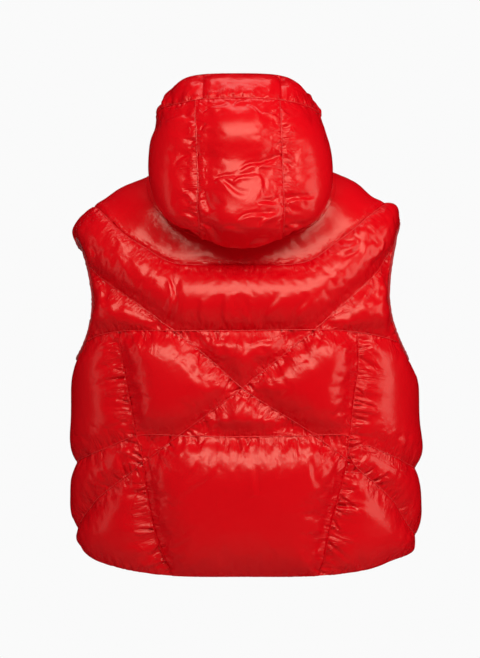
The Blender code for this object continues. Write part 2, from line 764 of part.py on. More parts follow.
def build_back(seams, shell):
    """Yoke, upper back and lower back."""
    crosses = [stretched(curve_through(from_behind(rows), OUTER_STEP), CROSSES_RUN_PAST)
               for rows in (CROSS_FROM_LEFT, CROSS_FROM_RIGHT)]
    waist = stretched(curve_through(from_behind(WAIST_LINE), OUTER_STEP), CROSSES_RUN_PAST)
    padded_piece("back_yoke", body_surface, (
        seams["shoulder of yoke left"], seams["yoke"], seams["shoulder of yoke right"][::-1],
        seams["neck back right"][::-1], seams["neck back left"]), [], YOKE_CROWN, shell)
    padded_piece("back_upper", body_surface, (
        seams["shoulder of upper back left"], seams["armhole high back left"][::-1],
        seams["chest left"], seams["chest middle"], seams["chest right"],
        seams["armhole high back right"], seams["shoulder of upper back right"][::-1],
        seams["yoke"][::-1]), crosses, BODY_CROWN, shell)
    padded_piece("back_lower", body_surface, (
        seams["chest middle"], seams["princess right"], seams["hem middle"][::-1],
        seams["princess left"][::-1]), crosses + [waist], BODY_CROWN, shell)


def side_lines(side):
    """The two quilting lines of a side panel: the stretches of the back's lines that run on."""
    if side > 0:
        cross, waist = CROSS_FROM_RIGHT[-SIDE_ROWS:], WAIST_LINE[:SIDE_ROWS]
    else:
        cross, waist = CROSS_FROM_LEFT[-SIDE_ROWS:], WAIST_LINE[-SIDE_ROWS:][::-1]
    low_end = (side * (SIDE_LINE + FRONT_LOW_REACH), FRONT_LOW_HEIGHT)
    high_end = (side * FRONT_CENTRE, FRONT_WAIST_HEIGHT)
    return [curve_through(np.vstack((from_behind(cross), low_end)), OUTER_STEP),
            curve_through(np.vstack((high_end, from_behind(waist))), OUTER_STEP)]


def build_sides_and_fronts(seams, shell):
    """Side panels that wrap to the front, and the two fronts with plain straight quilting."""
    for name, side in (("left", 1), ("right", -1)):
        padded_piece("side_" + name, body_surface, (
            facing_side(name, seams["chest " + name]), seams["princess " + name],
            facing_side(name, seams["hem side " + name])[::-1],
            seams["front seam " + name][::-1], seams["front chest " + name][::-1],
            seams["armhole low front " + name][::-1], seams["armhole low back " + name]),
            side_lines(side), SIDE_CROWN, shell)
        lines = [level_line((side * (SIDE_LINE - LINES_RUN_PAST), height),
                            (side * FRONT_CENTRE, height))
                 for height in (FRONT_YOKE_HEIGHT, FRONT_CHEST_HEIGHT, FRONT_WAIST_HEIGHT)]
        padded_piece("front_" + name, body_surface, (
            seams["shoulder of front " + name], seams["armhole high front " + name][::-1],
            seams["front chest " + name], seams["front seam " + name],
            facing_side(name, seams["hem front " + name])[::-1],
            seams["zip edge " + name], seams["neck front " + name]), lines, FRONT_CROWN, shell)


# ---------------------------------------------------------------- hood

def hood_line(share_rows, start, end):
    """A line along the hood at given shares of the rib length, between two places along it."""
    along = np.linspace(start, end, 50)
    up = spline(HOOD_RIB_AT, share_rows, along) * rib_length(along)
    return curve_through(np.column_stack((along, up)), OUTER_STEP)


def eased_at_neck(chart):
    """Share of the filling, pressed flat on the underside between the neck seam and the fold."""
    folds = np.array([lengths_along(rib)[FOLD_CROSSING] for rib in HOOD_NET])
    share = chart[:, 1] / spline(HOOD_RIB_AT, folds, chart[:, 0])
    share = np.clip((share - PRESSED_TO) / (FULL_FROM - PRESSED_TO), 0, 1)
    return share * share * (3 - 2 * share)


def build_hood(shell):
    """Centre panel, two side panels and the band round the face opening."""
    crossings = np.array([lengths_along(rib)[BAND_CROSSING] for rib in HOOD_NET])
    band_shares = crossings / HOOD_RIB_LENGTH
    centre = len(HOOD_RIB_AT) // 2
    seam_at, chin = HOOD_RIB_AT[centre + 1], HOOD_RIB_AT[-1]
    flat, full = np.zeros_like(band_shares), np.ones_like(band_shares)

    def rib(along):
        band_height = float(spline(HOOD_RIB_AT, band_shares, [along])[0] * rib_length([along])[0])
        return level_line((along, 0.0), (along, band_height))

    left_seam, right_seam = rib(seam_at), rib(-seam_at)
    band_left = hood_line(band_shares, seam_at, chin)
    band_middle = hood_line(band_shares, -seam_at, seam_at)
    band_right = hood_line(band_shares, -chin, -seam_at)
    padded_piece("hood_centre", hood_surface, (
        hood_line(flat, -seam_at, seam_at), left_seam, band_middle[::-1], right_seam[::-1]),
        [], HOOD_CROWN, shell, ease=eased_at_neck)
    chin_left, chin_right = rib(chin), rib(-chin)
    padded_piece("hood_side_left", hood_surface, (
        hood_line(flat, seam_at, chin), chin_left, band_left[::-1], left_seam[::-1]),
        [], HOOD_CROWN, shell, ease=eased_at_neck)
    padded_piece("hood_side_right", hood_surface, (
        hood_line(flat, -chin, -seam_at), right_seam, band_right[::-1], chin_right[::-1]),
        [], HOOD_CROWN, shell, ease=eased_at_neck)
    edge = hood_line(full, -chin, chin)
    padded_piece("hood_band", hood_surface, (
        joined(band_right, band_middle, band_left), level_line(band_left[-1], edge[-1]),
        edge[::-1], level_line(edge[0], band_right[0])), [], BAND_CROWN, shell)


def build_flap(seams, trim):
    """Flat flap under the hood's lower edge, lying on the puffed yoke."""
    yoke_edges = (seams["shoulder of yoke left"], seams["yoke"],
                  seams["shoulder of yoke right"][::-1],
                  seams["neck back right"][::-1], seams["neck back left"])
    stitched = [body_surface(edge) for edge in yoke_edges]

    def over_yoke(chart):
        puff = baffle_height(nearest_distance(body_surface(chart), stitched), YOKE_CROWN)
        return puff + FLAP_GAP + FLAP_THICK

    outer = curve_through(from_behind(FLAP_OUTER), FLAP_STEP)
    inner = curve_through(from_behind(FLAP_INNER), FLAP_STEP)
    padded_piece("hood_flap", body_surface, (
        outer, level_line(outer[-1], inner[-1]), inner[::-1], level_line(inner[0], outer[0])),
        [], 0.0, trim, lift=over_yoke, wall=FLAP_THICK, steps=(FLAP_STEP, FLAP_STEP))


# ---------------------------------------------------------------- bindings and zip

def lofted(name, rings, closed, material):
    """A tube through rings of points, either a closed loop or capped at both ends."""
    rings = np.array(rings)
    count, sides = rings.shape[:2]
    mesh = bmesh.new()
    verts = [[mesh.verts.new(tuple(place)) for place in ring] for ring in rings]
    for k in range(count if closed else count - 1):
        here, there = verts[k], verts[(k + 1) % count]
        for j in range(sides):
            mesh.faces.new((here[j], here[(j + 1) % sides], there[(j + 1) % sides], there[j]))
    if not closed:
        mesh.faces.new(verts[0][::-1])
        mesh.faces.new(verts[-1])
    bmesh.ops.recalc_face_normals(mesh, faces=mesh.faces)
    data = bpy.data.meshes.new(name)
    mesh.to_mesh(data)
    mesh.free()
    data.shade_smooth()
    data.set_sharp_from_angle(angle=math.radians(40))
    return add_part(name, data, material)


def build_bindings(seams, trim):
    """Narrow bound edge round each armhole."""
    angles = np.linspace(0, 2 * math.pi, BINDING_SIDES, endpoint=False)
    for name in ("left", "right"):
        back = joined(seams["armhole low back " + name], seams["armhole high back " + name])
        front = joined(seams["armhole low front " + name], seams["armhole high front " + name])
        loop = np.vstack((back, front[-2:0:-1]))
        places, normals = body_surface(loop), outward(body_surface, loop)
        ways = np.roll(places, -1, axis=0) - np.roll(places, 1, axis=0)
        into_hole = np.cross(ways, normals)
        into_hole /= np.linalg.norm(into_hole, axis=1)[:, None]
        middle = places.mean(axis=0)
        into_hole *= np.sign(((middle - places) * into_hole).sum(axis=1))[:, None]
        centres = places + into_hole * (BINDING_GAP + BINDING_WIDE / 2) - normals * WALL / 2
        rings = [centre + np.outer(np.cos(angles), hole) * BINDING_WIDE / 2
                 + np.outer(np.sin(angles), normal) * BINDING_THICK / 2
                 for centre, hole, normal in zip(centres, into_hole, normals)]
        lofted("armhole_binding_" + name, rings, True, trim)


def zip_path(seams):
    """Line of the zip in the middle plane, from the hem to the chin, with its outward normals."""
    body = body_surface(seams["zip edge left"])
    path = np.vstack((body, HOOD_NET[-1][1:]))[:, 1:]
    path[0, 1] += 0.002
    path[-1, 1] -= 0.003
    path = curve_through(path, OUTER_STEP)
    ways = np.gradient(path, axis=0)
    ways /= np.linalg.norm(ways, axis=1)[:, None]
    return path, np.column_stack((-ways[:, 1], ways[:, 0]))


def build_zip(seams, trim, metal):
    """Two tapes side by side, a slider near the top and its pull tab on a pin."""
    path, normals = zip_path(seams)
    for name, side in (("left", 1), ("right", -1)):
        rings = []
        for place, normal in zip(path, normals):
            front = place - normal * ZIP_SUNK
            back = front - normal * ZIP_THICK
            rings.append([(side * x, y, z) for x, (y, z) in (
                (TAPE_INNER, front), (TAPE_OUTER, front), (TAPE_OUTER, back), (TAPE_INNER, back))])
        lofted("zip_tape_" + name, rings, False, trim)
    at = len(path) - 2
    place, normal = path[at], normals[at]
    tilt = math.atan2(normal[1], -normal[0])
    turn = Matrix.Rotation(-tilt, 4, "X")
    frame = Matrix.Translation((0, place[0], place[1])) @ turn
    out = ZIP_SUNK - SEAM_GAP
    slider = add_box("zip_slider", (SLIDER_WIDTH, SLIDER_DEEP, SLIDER_LONG),
                     (0, out - SLIDER_DEEP / 2, 0), frame, metal, vest)
    bevel = slider.modifiers.new("rounded edges", "BEVEL")
    bevel.width = 0.0008
    bevel.segments = 2
    pivot_out = out - SLIDER_DEEP - PIVOT_OUT
    lug = add_box("lug", (LUG_THICK, PIVOT_OUT + LUG_ROUND + 0.001, 2 * LUG_ROUND),
                  (0, pivot_out - LUG_ROUND + (PIVOT_OUT + LUG_ROUND + 0.001) / 2, 0),
                  frame, metal, cutters)
    hole = add_rod("pin hole", PIN_RADIUS + PIN_PLAY, 0.02, (0, pivot_out, 0), frame, cutters)
    unite(slider, lug, "UNION")
    unite(slider, hole, "DIFFERENCE")
    pivot = frame @ Vector((0, pivot_out, 0))
    upright = Matrix.Translation(pivot)
    plate_top = LUG_ROUND * math.sqrt(2) + 0.0008
    plate = add_box("zip_pull", (PULL_WIDTH, PULL_THICK, PULL_LENGTH - plate_top),
                    (0, 0, -(plate_top + PULL_LENGTH) / 2), upright, metal, vest)
    for side in (1, -1):
        cheek = add_box("cheek", (CHEEK_THICK, PULL_THICK * 1.4, plate_top + 0.003 + CHEEK_OVER),
                        (side * (LUG_THICK / 2 + CHEEK_PLAY + CHEEK_THICK / 2), 0,
                         (CHEEK_OVER - plate_top - 0.003) / 2), upright, metal, cutters)
        unite(plate, cheek, "UNION")
    pin = add_rod("pin", PIN_RADIUS, LUG_THICK + 2 * CHEEK_PLAY + CHEEK_THICK, (0, 0, 0),
                  upright, cutters)
    unite(plate, pin, "UNION")
    plate.data.transform(Matrix.Translation(-pivot))
    plate.location = pivot


def add_box(name, size, centre, frame, material, where):
    """A box in a frame of its own."""
    mesh = bmesh.new()
    bmesh.ops.create_cube(mesh, size=1.0)
    bmesh.ops.scale(mesh, vec=size, verts=mesh.verts)
    bmesh.ops.translate(mesh, vec=centre, verts=mesh.verts)
    return finish_solid(name, mesh, frame, material, where)


def add_rod(name, radius, length, centre, frame, where):
    """A round rod along X."""
    mesh = bmesh.new()
    bmesh.ops.create_cone(mesh, cap_ends=True, segments=16, radius1=radius, radius2=radius,
                          depth=length, matrix=Matrix.Rotation(math.pi / 2, 4, "Y"))
    bmesh.ops.translate(mesh, vec=centre, verts=mesh.verts)
    return finish_solid(name, mesh, frame, None, where)


def finish_solid(name, mesh, frame, material, where):
    """Link a small solid as a part or as a cutter."""
    data = bpy.data.meshes.new(name)
    mesh.transform(frame)
    mesh.to_mesh(data)
    mesh.free()
    solid = bpy.data.objects.new(name, data)
    if material:
        data.materials.append(material)
    where.objects.link(solid)
    if where is cutters:
        solid.hide_render = True
        solid.display_type = "WIRE"
    return solid


def unite(solid, other, operation):
    """Join or cut one solid with another."""
    modifier = solid.modifiers.new(other.name, "BOOLEAN")
    modifier.operation = operation
    modifier.solver = "EXACT"
    modifier.object = other


clear_scene()
vest = bpy.data.collections.new("hooded_puffer_vest")
cutters = bpy.data.collections.new("cutters")
bpy.context.scene.collection.children.link(vest)
bpy.context.scene.collection.children.link(cutters)
shell_nylon = make_material("shell_nylon", SHELL_RED)
trim_fabric = make_material("trim_fabric", TRIM_RED)
zip_metal = make_material("zip_metal", ZIP_METAL)
body_lines = body_seams()
build_back(body_lines, shell_nylon)
build_sides_and_fronts(body_lines, shell_nylon)
build_hood(shell_nylon)
build_flap(body_lines, trim_fabric)
build_bindings(body_lines, trim_fabric)
build_zip(body_lines, trim_fabric, zip_metal)
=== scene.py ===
"""Looks of the hooded down vest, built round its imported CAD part."""

import heapq
import json
import math

import bmesh
import bpy
import numpy as np
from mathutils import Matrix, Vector
from mathutils.kdtree import KDTree

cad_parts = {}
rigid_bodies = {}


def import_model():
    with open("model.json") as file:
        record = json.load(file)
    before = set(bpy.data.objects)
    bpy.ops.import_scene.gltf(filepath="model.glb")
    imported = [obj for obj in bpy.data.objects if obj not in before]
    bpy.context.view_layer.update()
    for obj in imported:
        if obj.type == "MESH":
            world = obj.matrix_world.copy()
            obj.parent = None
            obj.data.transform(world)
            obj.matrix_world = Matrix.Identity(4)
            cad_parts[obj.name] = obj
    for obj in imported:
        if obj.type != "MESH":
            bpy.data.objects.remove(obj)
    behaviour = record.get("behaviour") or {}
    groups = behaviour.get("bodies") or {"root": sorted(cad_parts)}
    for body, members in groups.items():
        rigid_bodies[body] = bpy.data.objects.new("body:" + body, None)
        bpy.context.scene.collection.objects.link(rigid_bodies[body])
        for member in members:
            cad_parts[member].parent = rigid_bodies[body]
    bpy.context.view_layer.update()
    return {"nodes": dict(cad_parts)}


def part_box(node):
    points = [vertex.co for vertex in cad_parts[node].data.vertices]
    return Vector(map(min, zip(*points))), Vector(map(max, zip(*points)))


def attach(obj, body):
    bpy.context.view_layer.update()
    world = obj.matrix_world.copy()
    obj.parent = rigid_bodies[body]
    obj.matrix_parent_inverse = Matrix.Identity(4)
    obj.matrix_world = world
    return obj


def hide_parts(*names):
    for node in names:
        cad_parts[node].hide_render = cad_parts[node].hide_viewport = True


for start_up_object in list(bpy.data.objects):
    bpy.data.objects.remove(start_up_object)
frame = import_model()
nodes = frame["nodes"]


# ------------------------------------------------------------------ studio
# A pale round floor far below the vest, a camera level with its middle, and soft boxes high behind
# the camera, at both sides, overhead and before the front. The pale dome round it all is seen by
# the camera only and lights nothing.

def linear(hex_colour):
    """Linear RGBA of an sRGB hex colour."""
    parts = [int(hex_colour[k:k + 2], 16) / 255 for k in (0, 2, 4)]
    return [p / 12.92 if p <= 0.04045 else ((p + 0.055) / 1.055) ** 2.4 for p in parts] + [1.0]


def add_node(material, kind, links, settings=None):
    """Add a node with its settings and its inputs, each a value or another node's output."""
    node = material.node_tree.nodes.new("ShaderNode" + kind)
    for name, value in (settings or {}).items():
        setattr(node, name, value)
    for name, value in links.items():
        if isinstance(value, bpy.types.NodeSocket):
            material.node_tree.links.new(value, node.inputs[name])
        else:
            node.inputs[name].default_value = value
    return node


def new_material(name):
    """An empty node material."""
    material = bpy.data.materials.new(name)
    material.use_nodes = True
    material.node_tree.nodes.clear()
    return material


def select_only(piece=None):
    """Leave one object selected and active, or none."""
    for thing in bpy.context.selected_objects:
        thing.select_set(False)
    if piece:
        piece.select_set(True)
    bpy.context.view_layer.objects.active = piece


CAMERA_DISTANCE = 2.8
CAMERA_HEIGHT = -0.215
camera_data = bpy.data.cameras.new("camera")
camera_data.lens = 98.8
camera_data.sensor_width = 36.0
camera = bpy.data.objects.new("camera", camera_data)
camera.location = (0.003, CAMERA_DISTANCE, CAMERA_HEIGHT)
camera.rotation_euler = (math.pi / 2, 0, math.pi)
bpy.context.scene.collection.objects.link(camera)
bpy.context.scene.camera = camera

# Matt white painted board: no gloss, a little warmer than the dome
floor_paint = new_material("matt_painted_board")
shader = add_node(floor_paint, "BsdfPrincipled", {
    "Base Color": linear("F1F0EE"), "Roughness": 0.9})
add_node(floor_paint, "OutputMaterial", {"Surface": shader.outputs[0]})
select_only()
bpy.ops.mesh.primitive_circle_add(vertices=96, radius=3.0, fill_type="NGON",
                                  location=(0, 0, -1.45))
floor = bpy.context.object
floor.name = "floor"
floor.data.materials.append(floor_paint)
floor.visible_glossy = False

# Lit white cyclorama, evenly bright
dome_paint = new_material("lit_cyclorama")
glow = add_node(dome_paint, "Emission", {"Color": linear("FAFAFA")})
add_node(dome_paint, "OutputMaterial", {"Surface": glow.outputs[0]})
select_only()
bpy.ops.mesh.primitive_uv_sphere_add(segments=48, ring_count=24, radius=12.0)
dome = bpy.context.object
dome.name = "cyclorama"
dome.data.materials.append(dome_paint)
for ray_kind in ("diffuse", "glossy", "transmission", "volume_scatter", "shadow"):
    setattr(dome, "visible_" + ray_kind, False)

bpy.context.scene.view_settings.view_transform = "Standard"
world = bpy.data.worlds.new("studio_air")
bpy.context.scene.world = world
world.use_nodes = True
world.node_tree.nodes["Background"].inputs["Color"].default_value = linear("FFF4F0")
world.node_tree.nodes["Background"].inputs["Strength"].default_value = 0.34
world.cycles_visibility.glossy = False

# Columns: place, aimed at, width, height, power in watts, whether the gloss shows it
SOFT_BOXES = {
    "high_behind_camera": ((-0.15, 1.80, 1.22), (0.0, 0.1, -0.2), 2.5, 1.15, 55.0, True),
    "left_strip": ((2.1, 0.6, -0.1), (0.2, 0.0, -0.25), 0.6, 1.7, 2.4, True),
    "right_fill": ((-2.1, 1.0, 0.2), (-0.1, 0.0, -0.25), 1.2, 1.6, 17.0, True),
    "wide_before_front": ((0.3, -2.4, 0.9), (0.0, 0.0, -0.2), 3.2, 2.2, 44.0, False),
    "overhead": ((0.0, -0.35, 2.3), (0.0, -0.05, -0.2), 1.8, 0.9, 11.0, True),
    "close_before_front": ((0.0, -1.25, -0.20), (0.0, 0.0, -0.22), 0.5, 0.4, 2.2, True),
}
for name, (place, target, wide, high, power, glossy) in SOFT_BOXES.items():
    light = bpy.data.lights.new(name, "AREA")
    light.shape = "RECTANGLE"
    light.size = wide
    light.size_y = high
    light.energy = power
    box = bpy.data.objects.new(name, light)
    box.visible_glossy = glossy
    box.visible_camera = False
    box.location = place
    box.rotation_euler = (Vector(target) - Vector(place)).to_track_quat("-Z", "Y").to_euler()
    bpy.context.scene.collection.objects.link(box)


# ------------------------------------------------------------------ lower back
# The largest down-filled panel, cut from glossy coated nylon, quilted along a cross and a waist
# line and sewn in between the two gathered princess seams.

def finish_material(material, tone, dark, light, shine, relief=None):
    """Give a patterned material its colour from dark to light by a tone, its relief and shader."""
    colour = add_node(material, "Mix", {0: tone, 6: linear(dark), 7: linear(light)},
                      {"data_type": "RGBA"})
    links = {"Base Color": colour.outputs[2], **shine}
    if relief:
        links["Normal"] = add_node(material, "Bump", relief).outputs[0]
    shader = add_node(material, "BsdfPrincipled", links)
    add_node(material, "OutputMaterial", {"Surface": shader.outputs[0]})


# Coated down-proof nylon taffeta, calendered: a smooth plastic-like gloss that breaks up over
# soft creases; the coating leaves faint cloudy changes of gloss and no visible weave.
shell_nylon = new_material("calendered_coated_nylon")
at = add_node(shell_nylon, "TexCoord", {}).outputs["Object"]
cloud = add_node(shell_nylon, "TexNoise", {"Vector": at, "Scale": 9.0, "Detail": 3.0})
gloss = add_node(shell_nylon, "MapRange", {
    "Value": cloud.outputs["Fac"], "To Min": 0.20, "To Max": 0.28})
crumple = add_node(shell_nylon, "TexNoise", {
    "Vector": at, "Scale": 45.0, "Detail": 4.0, "Roughness": 0.55, "Distortion": 0.6})
crumpled = add_node(shell_nylon, "Bump", {
    "Height": crumple.outputs["Fac"], "Strength": 0.22, "Distance": 0.003})
# Hair-fine gathers run in from each seam: 1 to 3 mm apart, as long as the seam's puckers, in
# clusters some 20 mm wide. The map holds metres along the seam, and the share of a pucker's length.
by_seam = add_node(shell_nylon, "UVMap", {}, {"uv_map": "gathers"}).outputs[0]
split = add_node(shell_nylon, "SeparateXYZ", {0: by_seam})
stretch = add_node(shell_nylon, "Mapping", {"Vector": by_seam, "Scale": (330.0, 1.1, 1.0)})
hair = add_node(shell_nylon, "TexNoise", {
    "Vector": stretch.outputs[0], "Scale": 1.0, "Detail": 2.5, "Roughness": 0.6,
    "Distortion": 0.25}, {"noise_dimensions": "2D"})
spread = add_node(shell_nylon, "Mapping", {"Vector": by_seam, "Scale": (48.0, 1.6, 1.0)})
cluster = add_node(shell_nylon, "TexNoise", {
    "Vector": spread.outputs[0], "Scale": 1.0, "Detail": 1.0}, {"noise_dimensions": "2D"})
thick = add_node(shell_nylon, "MapRange", {
    "Value": cluster.outputs["Fac"], "From Min": 0.36, "From Max": 0.62, "To Min": 0.12,
    "To Max": 1.0}, {"interpolation_type": "SMOOTHSTEP"})
near = add_node(shell_nylon, "MapRange", {
    "Value": split.outputs[1], "From Min": 0.05, "From Max": 1.15, "To Min": 1.0,
    "To Max": 0.0}, {"interpolation_type": "SMOOTHSTEP"})
share = add_node(shell_nylon, "Math", {0: thick.outputs[0], 1: near.outputs[0]},
                 {"operation": "MULTIPLY"})
gathered = add_node(shell_nylon, "Math", {0: hair.outputs["Fac"], 1: share.outputs[0]},
                    {"operation": "MULTIPLY"})
finish_material(shell_nylon, cloud.outputs["Fac"], "C0000B", "C9000D",
                {"Roughness": gloss.outputs[0], "IOR": 1.55,
                 "Specular Tint": (0.76, 0.50, 0.38, 1.0)},
                {"Height": gathered.outputs[0], "Strength": 0.75, "Distance": 0.0022,
                 "Normal": crumpled.outputs[0]})


def plain_weave(material, at, warp_scale, weft_scale, waver, joined):
    """The pattern of two crossing sets of threads, which waver a little."""
    warp, weft = (add_node(material, "TexWave", {"Vector": at, "Scale": scale,
                                                 "Distortion": waver},
                           {"bands_direction": direction})
                  for scale, direction in ((warp_scale, "DIAGONAL"), (weft_scale, "Z")))
    return add_node(material, "Math", {0: warp.outputs["Fac"], 1: weft.outputs["Fac"]},
                    {"operation": joined}).outputs[0]


# Plain-woven nylon taffeta, uncoated: duller and darker than the shell. Its threads lie 0.15 mm
# apart and are drawn 1 mm apart, so that the weave shows; wear has left it a little cloudy.
lining_nylon = new_material("plain_woven_nylon_taffeta")
at = add_node(lining_nylon, "TexCoord", {}).outputs["Object"]
weave = plain_weave(lining_nylon, at, 180.0, 314.0, 0.6, "MULTIPLY")
cloud = add_node(lining_nylon, "TexNoise", {"Vector": at, "Scale": 14.0, "Detail": 4.0})
finish_material(lining_nylon, cloud.outputs["Fac"], "7C0810", "8E0A12",
                {"Roughness": 0.52, "Sheen Weight": 0.15},
                {"Height": weave, "Strength": 0.3, "Distance": 0.0003})

QUILTED, PLAIN, EDGE = 0, 1, 2     # material slots, and the three sides of a padded wall
WALL_TURN = 40                     # degrees at which the plain inner face ends at its edge
LEAST_SIDE = 0.018                 # no whole side of a panel is smaller than this, in m2
VALLEY_TURN = math.radians(6)      # how sharply two faces dip where they are stitched
LEAST_VALLEY = 0.12                # shorter dips of a side panel aren't stitched
CORNER_TURN = math.radians(32)     # from which a panel's edge turns a corner
STRAIGHT_ON = 0.75                 # from this cosine up, a dip goes straight on
LONGEST_WAY = 0.09                 # how far a dip is run on to reach the panel's rim
TURN_COST = 5                      # how much longer a way counts where it turns square
SHARPEST_BEND = 0.4                # cosine of the sharpest bend within a sewn line
LINE_REACH = 0.0012                # how near to its line's place a stitched corner lies
GATHERED_REACH = 0.035             # how far from a seam its spare cloth runs out
CLOTH_FRAMES = 18                  # how long the cloth is blown up
CLOTH_CAP = 0.014                  # how far it may move
PUCKER_CAP = 0.005                 # how deep crossing puckers may get
SEAM_OVERLAP = 0.00028             # how far each panel's edge is pushed into its seam


def connected(items, neighbours):
    """Groups of items that reach each other through neighbours(item)."""
    left, groups = set(items), []
    while left:
        stack, group = [left.pop()], []
        while stack:
            group.append(stack.pop())
            fresh = left.intersection(neighbours(group[-1]))
            left -= fresh
            stack.extend(fresh)
        groups.append(group)
    return groups


def plain_inner_face(mesh, wall_turn):
    """The faces of the wall's unquilted side: the large part with the fewest, widest faces."""
    def beside(face):
        return [other for edge in face.edges
                if edge.calc_face_angle_signed(0) <= math.radians(wall_turn)
                for other in edge.link_faces]

    def face_size(group):
        area = sum(face.calc_area() for face in group)
        return area / len(group) if area > LEAST_SIDE else 0
    return set(max(connected(mesh.faces, beside), key=face_size))


def sides_of(edge):
    """Which sides of the wall meet at an edge."""
    return {face.material_index for face in edge.link_faces}


def middle_of(edge):
    """The middle of an edge."""
    return (edge.verts[0].co + edge.verts[1].co) / 2


def heading(start, end):
    """Direction from one corner to another."""
    return (end.co - start.co).normalized()


def runs_on(edge, corner, lines, rim):
    """Whether a line goes straight on past one end of an edge, or meets the panel's rim there."""
    if corner in rim:
        return True
    ahead = heading(edge.other_vert(corner), corner)
    return any(near is not edge and near in lines
               and heading(corner, near.other_vert(corner)).dot(ahead) > STRAIGHT_ON
               for near in corner.link_edges)


def way_to_line(start, own, goals):
    """Straightest way along the quilted side from a loose end of a line to a goal corner."""
    end = next(edge for edge in start.link_edges if edge in own)
    ahead = heading(end.other_vert(start), start)
    best, queue, back, count = {start: 0.0}, [(0.0, 0, start)], {}, 0
    while queue:
        cost, _, corner = heapq.heappop(queue)
        if corner in goals:
            way = []
            while corner is not start:
                way.append(back[corner])
                corner = back[corner].other_vert(corner)
            return way
        if cost > best[corner] or cost > LONGEST_WAY:
            continue
        for edge in corner.link_edges:
            if sides_of(edge) != {QUILTED} or edge in own:
                continue
            other = edge.other_vert(corner)
            turn = 1 - heading(corner, other).dot(ahead)
            new = cost + edge.calc_length() * (1 + TURN_COST * turn)
            if new < best.get(other, 1.0):
                best[other] = new
                back[other] = edge
                count += 1
                heapq.heappush(queue, (new, count, other))
    return []


def stitched_dips(mesh):
    """Long dips of a side panel, run on to the panel's rim."""
    rim = {corner for edge in mesh.edges for corner in edge.verts
           if sides_of(edge) == {QUILTED, EDGE}}
    lines = {edge for edge in mesh.edges
             if sides_of(edge) == {QUILTED} and edge.calc_face_angle_signed(0) < -VALLEY_TURN
             and not all(corner in rim for corner in edge.verts)}
    for _ in range(2):
        lines = {edge for edge in lines
                 if all(runs_on(edge, corner, lines, rim) for corner in edge.verts)}
    touching = connected(lines, lambda edge: [near for corner in edge.verts
                                              for near in corner.link_edges])
    groups = [set(group) for group in touching
              if sum(edge.calc_length() for edge in group) > LEAST_VALLEY]
    lines = set().union(*groups)
    for group in groups:
        corners = {corner for edge in group for corner in edge.verts}
        for corner in sorted(corners, key=lambda c: c.index):
            if corner not in rim and sum(near in group for near in corner.link_edges) == 1:
                lines |= set(way_to_line(corner, group, rim))
    return lines


def run_along(path):
    """How far along a path each of its points lies."""
    return np.concatenate(([0], np.cumsum(np.linalg.norm(np.diff(path, axis=0), axis=1))))


def smooth_curve(rows):
    """Evenly spaced points on a smooth (Hermite) curve through rows of (across, height)."""
    rows = np.array(rows)
    run = run_along(rows)
    slope = np.gradient(rows, run, axis=0)
    at = np.linspace(0, run[-1], 400)
    k = np.clip(np.searchsorted(run, at) - 1, 0, len(run) - 2)
    wide = (run[k + 1] - run[k])[:, None]
    f = (at - run[k])[:, None] / wide
    return ((2 * f ** 3 - 3 * f ** 2 + 1) * rows[k] + (f ** 3 - 2 * f ** 2 + f) * wide * slope[k]
            + (3 * f ** 2 - 2 * f ** 3) * rows[k + 1] + (f ** 3 - f ** 2) * wide * slope[k + 1])


def stitched_on_curves(curves):
    """A finder of the edges that lie on curves of the back, seen from behind."""
    marks = np.vstack([smooth_curve(rows) for rows in curves])

    def find(mesh):
        def off(place):
            return np.hypot(*(marks - (place.x, place.z)).T).min()
        near = {corner for corner in mesh.verts if off(corner.co) < LINE_REACH}
        return {edge for edge in mesh.edges if sides_of(edge) == {QUILTED}
                and all(corner in near for corner in edge.verts)
                and off(middle_of(edge)) < 1.5 * LINE_REACH}
    return find


def stitched_at_heights(*heights):
    """A finder of the edges that lie on straight level lines of the front."""
    def find(mesh):
        return {edge for edge in mesh.edges if sides_of(edge) == {QUILTED}
                and any(all(abs(corner.co.z - height) < LINE_REACH for corner in edge.verts)
                        for height in heights)}
    return find


def new_piece(name, mesh, *finishes):
    """An object at the origin, made from a bmesh, which is freed, or from points and faces."""
    data = bpy.data.meshes.new(name)
    if isinstance(mesh, tuple):
        points, faces = mesh
        data.from_pydata(points.tolist(), [], faces)
    else:
        mesh.to_mesh(data)
        mesh.free()
    for finish in finishes:
        data.materials.append(finish)
    piece = bpy.data.objects.new(name, data)
    bpy.context.scene.collection.objects.link(piece)
    return piece


def quilted_copy(node, levels, wall_turn, stitched):
    """A finer copy of a padded wall, with its sewn edges and stitched valleys kept sharp."""
    mesh = bmesh.new()
    mesh.from_mesh(nodes[node].data)
    crease = mesh.edges.layers.float.new("crease_edge")
    corner_crease = mesh.verts.layers.float.new("crease_vert")
    bmesh.ops.remove_doubles(mesh, verts=mesh.verts, dist=1e-5)
    inner = plain_inner_face(mesh, wall_turn)
    inner_corners = {corner for face in inner for corner in face.verts}
    for face in mesh.faces:
        on_edge = any(corner in inner_corners for corner in face.verts)
        face.material_index = PLAIN if face in inner else EDGE if on_edge else QUILTED
        face.smooth = True
    valleys = stitched(mesh) if stitched else set()
    for edge in mesh.edges:
        bent = edge.calc_face_angle_signed(0) > math.radians(wall_turn)
        edge[crease] = float(len(sides_of(edge)) == 2 or edge in valleys
                             or (bent and QUILTED not in sides_of(edge)))
    for corner in mesh.verts:
        rims = [edge for edge in corner.link_edges if sides_of(edge) == {QUILTED, EDGE}]
        if len(rims) == 2:
            one, other = (heading(corner, edge.other_vert(corner)) for edge in rims)
            corner[corner_crease] = float(one.dot(other) > -math.cos(CORNER_TURN))
    piece = new_piece(node + "_quilted", mesh, shell_nylon, lining_nylon, shell_nylon)
    subdivide(piece, levels)
    return piece


